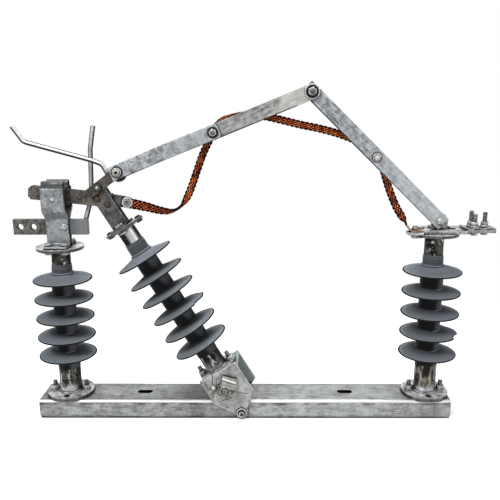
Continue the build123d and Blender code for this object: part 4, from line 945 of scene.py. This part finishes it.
def shed_profile(bottom, top, first, pitch, count, reach):
    """Rows of (radius, height) up a rod insulator: a plain trunk, and sheds whose underside is nearly flat,
    whose rim is a half circle and whose top rises to the trunk, with a small fillet at each root. A
    narrower collar with a step ends it."""
    trunk, rim, collar = 19.5, 1.2, 17.4
    rows = [(trunk - 1.6, bottom), (trunk - 0.1, bottom + 1.2), (trunk, bottom + 3)]
    fall = np.linspace(0, 1, 22)
    bend = np.linspace(-math.pi / 2, math.pi / 2, 9)
    for number in range(count):
        middle = first + number * pitch
        r = trunk + (reach - rim - trunk) * fall ** 1.3
        under = middle - rim - 0.4 * (1 - fall) - 2.4 * np.exp(-(r - trunk) / 1.6)
        rows += list(zip(r, under))
        rows += [(reach - rim + rim * math.cos(b), middle + rim * math.sin(b)) for b in bend[1:-1]]
        r = r[::-1]
        share = (r - trunk) / (reach - rim - trunk)
        over = middle + rim + 7.6 * (1 - share) ** 1.1 + 1.4 * np.exp(-(r - trunk) / 1.0)
        rows += list(zip(r, over))
    rows += [(trunk, middle + 12.0), (collar, middle + 13.6), (collar, top - 4.6), (collar - 0.5, top - 4.2),
             (collar - 0.5, top - 0.8), (collar - 1.2, top)]
    return np.array(rows) * MM


def torn_rim(middle, reach, *bites):
    """Caps the radius of one shed: each bite (angle, width, depth) is a jagged bell curve."""
    def cap(a, h):
        lost = 0.0 * a
        for angle, width, depth in bites:
            off = np.angle(np.exp(1j * (a - math.radians(angle))))
            rough = 1 + 0.15 * np.sin(37 * a) + 0.08 * np.sin(91 * a)
            lost = np.maximum(lost, depth * MM * np.exp(-(off / width) ** 4) * rough)
        return np.where(np.abs(h - middle * MM) < 0.009, reach * MM - lost, 1.0)
    return cap


def add_insulator(name, body, seat, axis, height, bottom, first, pitch, count, reach, damage=None, neck=32.0):
    profile = shed_profile(bottom, height - neck, first, pitch, count, reach)
    form = Form()
    form.turned(profile, seat, axis, 180, outline=damage)
    form.finish(name + "_sheds", finishes[name + "_shed"], body, (name + "_insulator_body",), "silicone", sharp=50)
    if bottom > 40:
        form = Form()
        form.turned(np.array([(18, 26), (19, 26.6), (19, bottom + 1), (18, bottom + 2)]) * MM, seat, axis, 64)
        form.finish(name + "_foot_sleeve", finishes[name + "_column"], body, (), "galvanised")
    if neck > 32:
        form = Form()
        form.turned(np.array([(15, height - neck - 2), (16, height - neck - 1), (16, height - 30.6),
                              (15, height - 30)]) * MM, seat, axis, 64)
        form.finish(name + "_neck_sleeve", finishes[name + "_column"], body, (), "galvanised")


add_insulator("left", "base", at(LEFT_X, 0, DECK), TOP, LEFT_HEIGHT, 49.5, 75.6, 34.8, 5, 50.0)
add_insulator("right", "base", at(RIGHT_X, 0, DECK), TOP, RIGHT_HEIGHT, 56.5, 78.0, 37.6, 5, 50.0,
              torn_rim(115.6, 50.0, (152, 0.24, 6.0), (222, 0.38, 6.5)), 40.0)
add_insulator("rocker", "rocker", on_rocker(ROCKER_OFFSET, STIRRUP_DECK), UPWARD, ROCKER_HEIGHT, 38.5, 61.5,
              36.4, 6, 51.2, torn_rim(134.3, 51.2, (214, 0.22, 5.5), (284, 0.34, 5.5)))

# Fasteners


def stack(form, place, axis, items, turn=0.3):
    """Washers, nuts and studs piled up from a face: each starts where the last one ended. Each item is
    (kind, radius, height)."""
    spot = np.asarray(place, float)
    axis = unit(axis)
    for kind, radius, height in items:
        radius, height = radius * MM, height * MM
        # A ring is a thin disc in the dark finish: painted shade round a washer or nut.
        form.paint = {"washer": 1, "spring": 0, "nut": 0, "stud": 2, "dome": 0, "shank": 0, "cap": 1, "ring": 3}[kind]
        if kind == "washer":
            form.washer(spot, axis, radius, height)
        elif kind == "spring":
            form.spring_ring(spot, axis, radius, height)
        elif kind == "nut":
            form.nut(spot, axis, radius, height, turn)
        elif kind == "stud":
            form.stud(spot, axis, radius, height)
        elif kind in ("dome", "cap"):
            steps = np.linspace(0, math.pi / 2, 8)
            form.turned([(radius * math.cos(s), height * math.sin(s)) for s in steps], spot, axis, 36)
        else:
            form.turned([(radius, 0), (radius, height)], spot, axis, 24)
        spot = spot + axis * height
    form.paint = 0


def shank(form, start, end, radius):
    start, end = np.asarray(start, float), np.asarray(end, float)
    form.turned([(radius * MM, 0), (radius * MM, np.linalg.norm(end - start))], start, end - start, 20)


FOOT_NUT = [("washer", 7.4, 1.6), ("nut", 7.2, 6.4), ("stud", 4.0, 8.7)]


def column_bolts(name, body, seat, axis, side, grip, height, cap_groups):
    form = Form()
    deep = np.cross(axis, side)
    for number, sign in enumerate((-1, 1)):
        place = seat + side * (sign * 28.5 * MM)
        stack(form, place + axis * 6.0 * MM, axis, FOOT_NUT, 0.4 + number)
        stack(form, place - axis * grip * MM, -axis, [("nut", 7.5, 5.0)])
        shank(form, place - axis * grip * MM, place + axis * 6.1 * MM, 4.0)
    for places, cap_grip, head in cap_groups:
        tail = [("spring", 6.4, 1.6), ("nut", 7.2, 4.4)] if cap_grip else [("ring", 5.4, 3.4)]
        for number, (x, y) in enumerate(places):
            place = seat + side * x * MM + deep * y * MM
            stack(form, place + axis * (height + cap_grip) * MM, axis, head, 0.2 + 0.7 * number)
            stack(form, place + axis * (height - 5.0) * MM, -axis, tail, 0.5)
            shank(form, place + axis * (height - 5.1) * MM, place + axis * (height + cap_grip) * MM, 4.0)
    form.finish(name + "_fasteners", BOLT_SET, body, (name,), "fasteners")


column_bolts("left_column_bolts", "base", at(LEFT_X, 0, DECK), TOP, RIGHT, 3.0, LEFT_HEIGHT,
             [([(-14, -19.5), (14, -19.5), (-14, 19.5), (14, 19.5)], 4.0, [("nut", 7.4, 4.4), ("cap", 3.4, 0.6)])])
column_bolts("right_column_bolts", "base", at(RIGHT_X, 0, DECK), TOP, RIGHT, 3.0, RIGHT_HEIGHT,
             [([(-27, 0), (27, 0)], 5.0, [("nut", 7.4, 4.4), ("cap", 3.4, 0.6)])])
column_bolts("rocker_column_bolts", "rocker", on_rocker(ROCKER_OFFSET, STIRRUP_DECK), UPWARD, ACROSS, 4.0,
             ROCKER_HEIGHT,
             [([(0, -24), (0, 24)], 3.0, [("nut", 7.4, 4.4), ("cap", 3.4, 0.6)]),
              ([(-28.5, 0), (28.5, 0)], 0.0, [("ring", 5.2, 2.6), ("stud", 3.4, 0.8)])])


def through(form, place, front, back, head, tail, radius=4.0):
    """A bolt from front to back: its head's stack grows to the front and its nut's to the back."""
    place = np.array([place[0], 0, place[2]])
    stack(form, place + BACK * front * MM, FRONT, head)
    stack(form, place + BACK * back * MM, BACK, tail)
    shank(form, place + BACK * front * MM, place + BACK * back * MM, radius)


def small_fasteners():
    back_nut = [("nut", 7.4, 5.5)]
    form = Form()
    through(form, at(LEFT_X + 12, 0, 341.5), -8, 8, [("washer", 6.4, 0.8), ("dome", 5.2, 2.8)], back_nut)
    for side in (-1, 1):
        place = at(LEFT_X, side * 24, 391)
        stack(form, place, BACK * side, [("washer", 4.6, 0.6), ("dome", 3.8, 2.4)])
        shank(form, place, place - BACK * side * 6.4 * MM, 4.0)
    form.finish("jaw_screws", BOLT_SET, "base", ("jaw_bolts",), "fasteners")

    form = Form()
    through(form, on_rocker(0.9, CAP_TOP + 76.9), -13, 9, [("spring", 7.0, 2.0), ("nut", 6.6, 3.6), ("cap", 3.0, 0.8)],
            back_nut)
    form.finish("head_strap_bolt", [finishes["strap"], finishes["nut"], finishes["thread"]], "rocker", (), "fasteners")
    form = Form()
    through(form, LUG_BOLT, -6, 2, [("washer", 9.0, 1.2), ("nut", 6.4, 3.4), ("stud", 3.6, 1.4)], back_nut)
    form.finish("head_bolt_set", BOLT_SET, "rocker", ("head_bolts",), "fasteners")
    form = Form()
    for across, up in ((-12.1, 61.0), (-2.0, 44.8)):
        through(form, on_rocker(across, CAP_TOP + up), -9, 9, [("shank", 5.6, 0.9), ("nut", 4.6, 2.2), ("dome", 2.6, 0.6)],
                back_nut)
    form.finish("head_brown_bolts", [finishes["brown_bolt"]] * 3, "rocker", (), "fasteners")

    form = Form()
    stack(form, ARM_PIN + FRONT * 19.8 * MM, FRONT, [("ring", 9.4, 1.2), ("washer", 7.6, 1.0), ("nut", 6.0, 4.0), ("ring", 2.6, 0.6)],
          0.2)
    stack(form, ARM_PIN + FRONT * 9.0 * MM, BACK, [("nut", 7.3, 5.0)])
    shank(form, ARM_PIN + FRONT * 8.5 * MM, ARM_PIN + FRONT * 20.0 * MM, 4.0)
    form.finish("arm_pin_fastener", BOLT_SET, "rocker", ("arm_pin_bolt",), "fasteners")
    form = Form()
    form.washer(ARM_PIN + FRONT * 13.0 * MM + at(1.5, 0, -2.5), FRONT, 14.0 * MM, 2.0 * MM)
    form.finish("arm_pin_disc", finishes["strap"], "rocker", (), "dull_steel")

    form = Form()
    stack(form, KNEE + FRONT * 15.8 * MM, FRONT, [("washer", 12.4, 1.6), ("ring", 10.2, 1.2), ("nut", 7.4, 4.6),
                                                ("stud", 4.0, 2.2)], 0.5)
    shank(form, KNEE + FRONT * 11.0 * MM, KNEE + FRONT * 15.9 * MM, 4.0)
    form.finish("knee_fastener", BOLT_SET, "knee", ("knee_bolt",), "fasteners")

    form = Form()
    stack(form, SPLICE + FRONT * 19.4 * MM, FRONT, [("ring", 9.0, 1.4), ("nut", 6.6, 4.0), ("stud", 3.8, 1.2)], 0.1)
    stack(form, SPLICE + FRONT * 6.0 * MM, FRONT, [("shank", 7.4, 5.4)])
    stack(form, SPLICE + FRONT * 2.0 * MM, BACK, [("nut", 7.4, 5.6), ("stud", 4.0, 2.0)])
    shank(form, SPLICE + FRONT * 2.0 * MM, SPLICE + FRONT * 19.4 * MM, 4.0)
    form.finish("upper_arm_fasteners", BOLT_SET, "upper_arm", ("upper_arm_bolts",), "fasteners")

    form = Form()
    stack(form, MIDDLE + FRONT * 11.0 * MM, FRONT, [("ring", 8.8, 0.4), ("washer", 7.4, 1.0), ("nut", 6.0, 3.8), ("cap", 3.0, 0.8)],
          0.7)
    stack(form, MIDDLE + FRONT * 6.0 * MM, FRONT, [("shank", 7.4, 1.0)])
    stack(form, MIDDLE + FRONT * 2.0 * MM, BACK, [("nut", 7.4, 5.6), ("stud", 4.0, 2.0)])
    shank(form, MIDDLE + FRONT * 2.0 * MM, MIDDLE + FRONT * 11.0 * MM, 4.0)
    form.finish("lower_arm_fasteners", BOLT_SET, "lower_arm", ("lower_arm_bolts",), "fasteners")

    form = Form()
    through(form, PIVOT, -40.5, 40.5, [("ring", 10.2, 0.6), ("washer", 9.2, 1.4), ("ring", 7.2, 0.8), ("nut", 5.8, 3.8),
                                       ("ring", 2.6, 0.5)],
            [("nut", 9.2, 7.0)], 5.0)
    form.finish("pivot_fastener", BOLT_SET, "base", ("pivot_bolt",), "fasteners")

    form = Form()
    through(form, ANCHOR, -11.4, -2.6, [("washer", 8.0, 1.0), ("dome", 6.4, 3.2)], [("nut", 7.3, 5.0)])
    form.finish("anchor_fastener", BOLT_SET, "base", ("anchor_bolt",), "fasteners")

    form = Form()
    for number, (x, y, tall) in enumerate(((388.5, 7, 17.0), (390, -7, 13.5), (409, 0, 15.5))):
        stack(form, at(x, y, RIGHT_TOP + 9.0), TOP, [("washer", 7.4, 1.2), ("spring", 6.4, 1.8), ("nut", 6.5, 5.6),
                                                     ("stud", 3.9, tall)], number * 0.6)
        stack(form, at(x, y, RIGHT_TOP), -TOP, [("washer", 7.2, 1.2), ("nut", 6.5, 4.2)])
        shank(form, at(x, y, RIGHT_TOP), at(x, y, RIGHT_TOP + 9.0), 4.0)
    form.finish("terminal_studs", BOLT_SET, "base", ("right_terminal_bolts",), "fasteners")

    form = Form()
    place = at(285.5, -24, RIGHT_TOP)
    stack(form, place + TOP * 8.0 * MM, TOP, [("nut", 5.6, 4.4), ("stud", 3.8, 2.0)])
    stack(form, place, -TOP, [("washer", 6.8, 1.2), ("nut", 6.5, 5.0)], 0.9)
    shank(form, place, place + TOP * 8.0 * MM, 4.0)
    form.finish("tab_fastener", BOLT_SET, "base", ("right_braid_bolt",), "fasteners")


small_fasteners()

# Flat bars with bends


def add_upper_strap():
    """The front strap of the upper arm: its middle line rises as a half sine between the eyes, and a
    shallow set lifts it off the bar."""
    along = np.linspace(-12, 182, 120)
    bow = 1.2 * smooth_step(along, 16, 30) * (1 - smooth_step(along, 150, 162))
    rise = 0.9 * np.sin(np.clip((along - 10) / 160, 0, 1) * math.pi)
    up = np.cross(UPPER_DIR, BACK)
    up = up if up[2] > 0 else -up
    path = (ARM_PIN + UPPER_DIR * along[:, None] * MM + BACK * (-17.4 - bow)[:, None] * MM
            + up * rise[:, None] * MM)
    end = np.clip((6 - (182 - along)) / 6, 0, 1)
    width = 24.5 * MM * (0.55 + 0.45 * np.sqrt(1 - end ** 2))
    form = Form()
    form.strip(path, up, width, 4.0 * MM, 0.5 * MM)
    form.finish("upper_arm_front_strap", finishes["upper_strap"], "upper_arm", ("upper_arm_strap",), "galvanised",
                sharp=28)


add_upper_strap()


def add_terminal_plates():
    """The pressed plate that grips the line's wire: a flat bar whose height is a cosine along it."""
    form = Form()
    x = np.linspace(372, 424, 60)
    wave = 0.7 * np.cos((x - 372) / 52 * 2 * math.pi * 2.5)
    form.strip(np.stack([x, 0 * x, RIGHT_TOP + 7.0 + wave], 1) * MM, BACK, 30.0 * MM, 2.6 * MM, 0.5 * MM)
    form.finish("terminal_clamp_plate", finishes["terminal"], "base", ("right_clamp_plate",), "contact_metal")


add_terminal_plates()


def add_shaft_clamp():
    """A bent saddle over the shaft's end with a lip to the front, a collar on the shaft, a keeper plate
    below, and a small screw with its locking wire."""
    form = Form()
    long_way, down = unit((0.962, 0, -0.273)), unit((-0.273, 0, -0.962))
    profile = np.array([(0.6, 0.8), (0.3, 3.5), (0.0, 6.5), (1.2, 8.0), (5.0, 8.2), (10.0, 8.0), (13.4, 8.4),
                        (15.0, 10.2), (15.4, 12.4)])
    steps = np.linspace(0, len(profile) - 1, 44)
    profile = np.stack([np.interp(steps, np.arange(len(profile)), profile[:, k]) for k in range(2)], 1)
    corner = at(-25.0, STIRRUP_FACE, 81.5)
    form.strip(corner + down * profile[:, :1] * MM + FRONT * profile[:, 1:] * MM, long_way, 26.0 * MM, 2.2 * MM,
               0.5 * MM)
    form.finish("shaft_saddle", finishes["saddle"], "rocker", ("shaft_clamp",), "galvanised")
    form = Form()
    form.turned([(0.2 * MM, 0), (16 * MM, 0), (16.4 * MM, 0.4 * MM), (16.4 * MM, 2.6 * MM), (16 * MM, 3.0 * MM),
                 (0.2 * MM, 3.0 * MM)], at(-33.0, STIRRUP_FACE, 59.0), FRONT, 60,
                outline=lambda a, h: 13.4 * MM / np.cos(np.mod(a + 0.3, math.pi / 3) - math.pi / 6))
    form.finish("shaft_keeper", finishes["shaft"], "rocker", (), "dull_steel")
    form = Form()
    end = SHAFT + FRONT * 52.5 * MM
    form.turned([(7.0 * MM, -6.0 * MM), (9.5 * MM, -5.7 * MM), (9.7 * MM, -0.6 * MM), (9.2 * MM, 0), (5.0 * MM, 0.2 * MM)],
                end, FRONT, 48)
    # The middle ring is painted shade between the rim and the shaft's end.
    form.paint = 1
    form.turned([(7.6 * MM, 0.1 * MM), (7.4 * MM, 0.6 * MM), (5.0 * MM, 0.7 * MM)], end, FRONT, 48)
    form.paint = 2
    form.turned([(5.9 * MM, 0.6 * MM), (5.7 * MM, 1.6 * MM), (5.0 * MM, 2.0 * MM)], end, FRONT, 48)
    form.finish("shaft_collar", [finishes["shaft_rim"], finishes["shade_ring"], finishes["shaft"]], "rocker", (),
                "dull_steel")
    form = Form()
    screw = at(-54.0, STIRRUP_FACE, 62.0)
    stack(form, screw, FRONT, [("washer", 5.4, 1.0), ("nut", 4.4, 3.0), ("cap", 2.8, 1.6)])
    form.paint = 2
    t = np.linspace(0, 1, 50)
    hook = np.stack([-57 - 11.5 * t - 1.0 * np.sin(3 * t), -44 - 1.5 * np.sin(5 * t),
                     59.5 + 1.0 * t + 9.0 * smooth_step(t, 0.55, 1.0)], 1) * MM
    form.tube(hook, 0.8 * MM, 8)
    tail = np.stack([-51.5 - 4.2 * np.sin(1.6 * t), -42.5 + 0.6 * t, 56.0 - 15.0 * t], 1) * MM
    form.tube(tail, 0.6 * MM, 8)
    form.finish("shaft_screw_and_wire", BOLT_SET, "rocker", (), "fasteners")


add_shaft_clamp()


def add_welds():
    form = Form()
    for x in (LEFT_X, RIGHT_X):
        form.bead(at(x, 0, DECK + 6.4), TOP, 20.0 * MM, 1.8 * MM, x)
    form.bead(at(LEFT_X, 0, LEFT_TOP - 6.0), TOP, 16.6 * MM, 1.4 * MM, 1.0)
    form.bead(at(RIGHT_X, 0, RIGHT_TOP - 6.0), TOP, 16.6 * MM, 1.4 * MM, 2.0)
    form.finish("column_welds", finishes["flange"], "base", (), "galvanised", sharp=60)
    form = Form()
    form.bead(on_rocker(ROCKER_OFFSET, STIRRUP_DECK + 6.4), UPWARD, 20.0 * MM, 1.8 * MM, 3.0)
    form.bead(on_rocker(ROCKER_OFFSET, CAP_TOP - 6.0), UPWARD, 16.6 * MM, 1.4 * MM, 4.0)
    form.finish("rocker_welds", finishes["flange"], "rocker", (), "galvanised", sharp=60)


add_welds()


def add_braid_ends():
    """Pressed ends of the braid: an eyelet on the head's lug and a bent strip on the terminal's tab."""
    form = Form()
    form.washer(LUG_BOLT + FRONT * 5.2 * MM, FRONT, 9.6 * MM, 0.8 * MM)
    form.finish("braid_eyelet", finishes["tinned"], "rocker", (), "tinned_copper")
    form = Form()
    t = np.linspace(0, 1, 40)
    path = np.stack([296 - 26 * t, -24 + 0 * t, RIGHT_TOP + 6.6 + 12.5 * smooth_step(t, 0.62, 1.15)], 1) * MM
    form.strip(path, BACK, 17.0 * MM, 2.6 * MM, 0.5 * MM)
    form.finish("braid_tab_end", finishes["tinned"], "base", ("braid_ferrule",), "tinned_copper")


add_braid_ends()

# Finishes of the CAD pieces that show as they are

dressed = {
    "channel": ["base_channel"],
    "bracket": ["rocker_bracket"],
    "left_column": ["left_insulator_base", "left_insulator_cap"],
    "right_column": ["right_insulator_base", "right_insulator_cap"],
    "rocker_column": ["rocker_insulator_base", "rocker_insulator_cap"],
    "jaw": ["jaw_front_plate", "jaw_back_plate"],
    "spring": ["jaw_front_finger", "jaw_back_finger"],
    "bar": ["left_terminal_bar"],
    "blade": ["contact_blade"],
    "cheek": ["head_front_cheek", "head_back_cheek", "braid_lug"],
    "strap": ["cross_strap"],
    "upper_bar": ["upper_arm_bar"],
    "lower_arm": ["lower_arm"],
    "rod": ["moving_horn"],
    "upright_rod": ["fixed_horn"],
    "shaft": ["drive_shaft"],
    "terminal": ["right_terminal_plate", "right_pivot_lug"],
}
finish_of = {name: finish for finish, names in dressed.items() for name in names}
for name, node in nodes.items():
    node.data.materials.clear()
    node.data.materials.append(finishes[finish_of.get(name, "nut")])

# Floor, light and view


def add_studio():
    f = Finish(bpy.data.materials.new("floor_white"))
    x, y, _ = f.parts(f.place)
    far = f.level(f.math("SQRT", x * x + y * y), 0.55, 1.0)
    shown_white = f.math("MAXIMUM", f.math("MAXIMUM", *f.node(
        "ShaderNodeLightPath", out=("Is Camera Ray", "Is Glossy Ray"))), f.node("ShaderNodeLightPath",
                                                                               out="Is Transmission Ray"))
    side, deep = f.math("ABSOLUTE", x), f.math("ABSOLUTE", y)
    # Painted shadow: under the channel the floor is dark and does not glow.
    below = f.level(side, 0.363, 0.366, 1.0, 0.0) * f.level(deep, 0.033, 0.036, 1.0, 0.0)
    soft = f.node("ShaderNodeBsdfDiffuse", None, {"Color": f.blend(below, (0.93, 0.93, 0.93), (0.02, 0.02, 0.02))})
    glow = f.node("ShaderNodeEmission", None, {"Color": (1, 1, 1, 1), "Strength": 0.50 - below * 0.50})
    white = f.node("ShaderNodeEmission", None, {"Color": (1, 1, 1, 1), "Strength": 1.0})
    near = f.node("ShaderNodeAddShader", None, {0: soft, 1: glow})
    pale = f.node("ShaderNodeMixShader", None, {0: far, 1: near, 2: white})
    shown = f.node("ShaderNodeMixShader", None, {0: shown_white, 1: soft, 2: pale})
    f.node("ShaderNodeOutputMaterial", None, {"Surface": shown})
    floor = bpy.data.meshes.new("floor")
    s = 8.0
    floor.from_pydata([(-s, -s, 0), (s, -s, 0), (s, s, 0), (-s, s, 0)], [], [(0, 1, 2, 3)])
    floor.materials.append(f.owner)
    piece = bpy.data.objects.new("floor", floor)
    bpy.context.scene.collection.objects.link(piece)

    bpy.context.scene.world = bpy.data.worlds.new("studio")
    f = Finish(bpy.context.scene.world)
    shown_white = f.math("MAXIMUM", f.math("MAXIMUM", *f.node(
        "ShaderNodeLightPath", out=("Is Camera Ray", "Is Glossy Ray"))), f.node("ShaderNodeLightPath",
                                                                               out="Is Transmission Ray"))
    strength = f.level(shown_white, 0.0, 1.0, 0.24, 1.0)
    sky = f.node("ShaderNodeBackground", None, {"Color": (1, 1, 1, 1), "Strength": strength})
    f.node("ShaderNodeOutputWorld", None, {"Surface": sky})

    def lamp(name, place, aim, size, power):
        data = bpy.data.lights.new(name, "AREA")
        data.shape, data.size, data.energy = "SQUARE", size, power
        item = bpy.data.objects.new(name, data)
        item.location = place
        item.rotation_euler = (Vector(aim) - Vector(place)).to_track_quat("-Z", "Y").to_euler()
        bpy.context.scene.collection.objects.link(item)
    lamp("key", (-1.2, -1.7, 2.1), (0, 0, 0.25), 0.7, 46)
    lamp("fill", (1.9, -1.2, 1.1), (0, 0, 0.25), 1.2, 9)
    lamp("top", (0.2, 0.5, 2.3), (0, 0, 0.2), 1.0, 27)


add_studio()
bpy.context.scene.view_settings.view_transform = "Standard"


def corners(box):
    return [list(box[0]), list(box[1])]
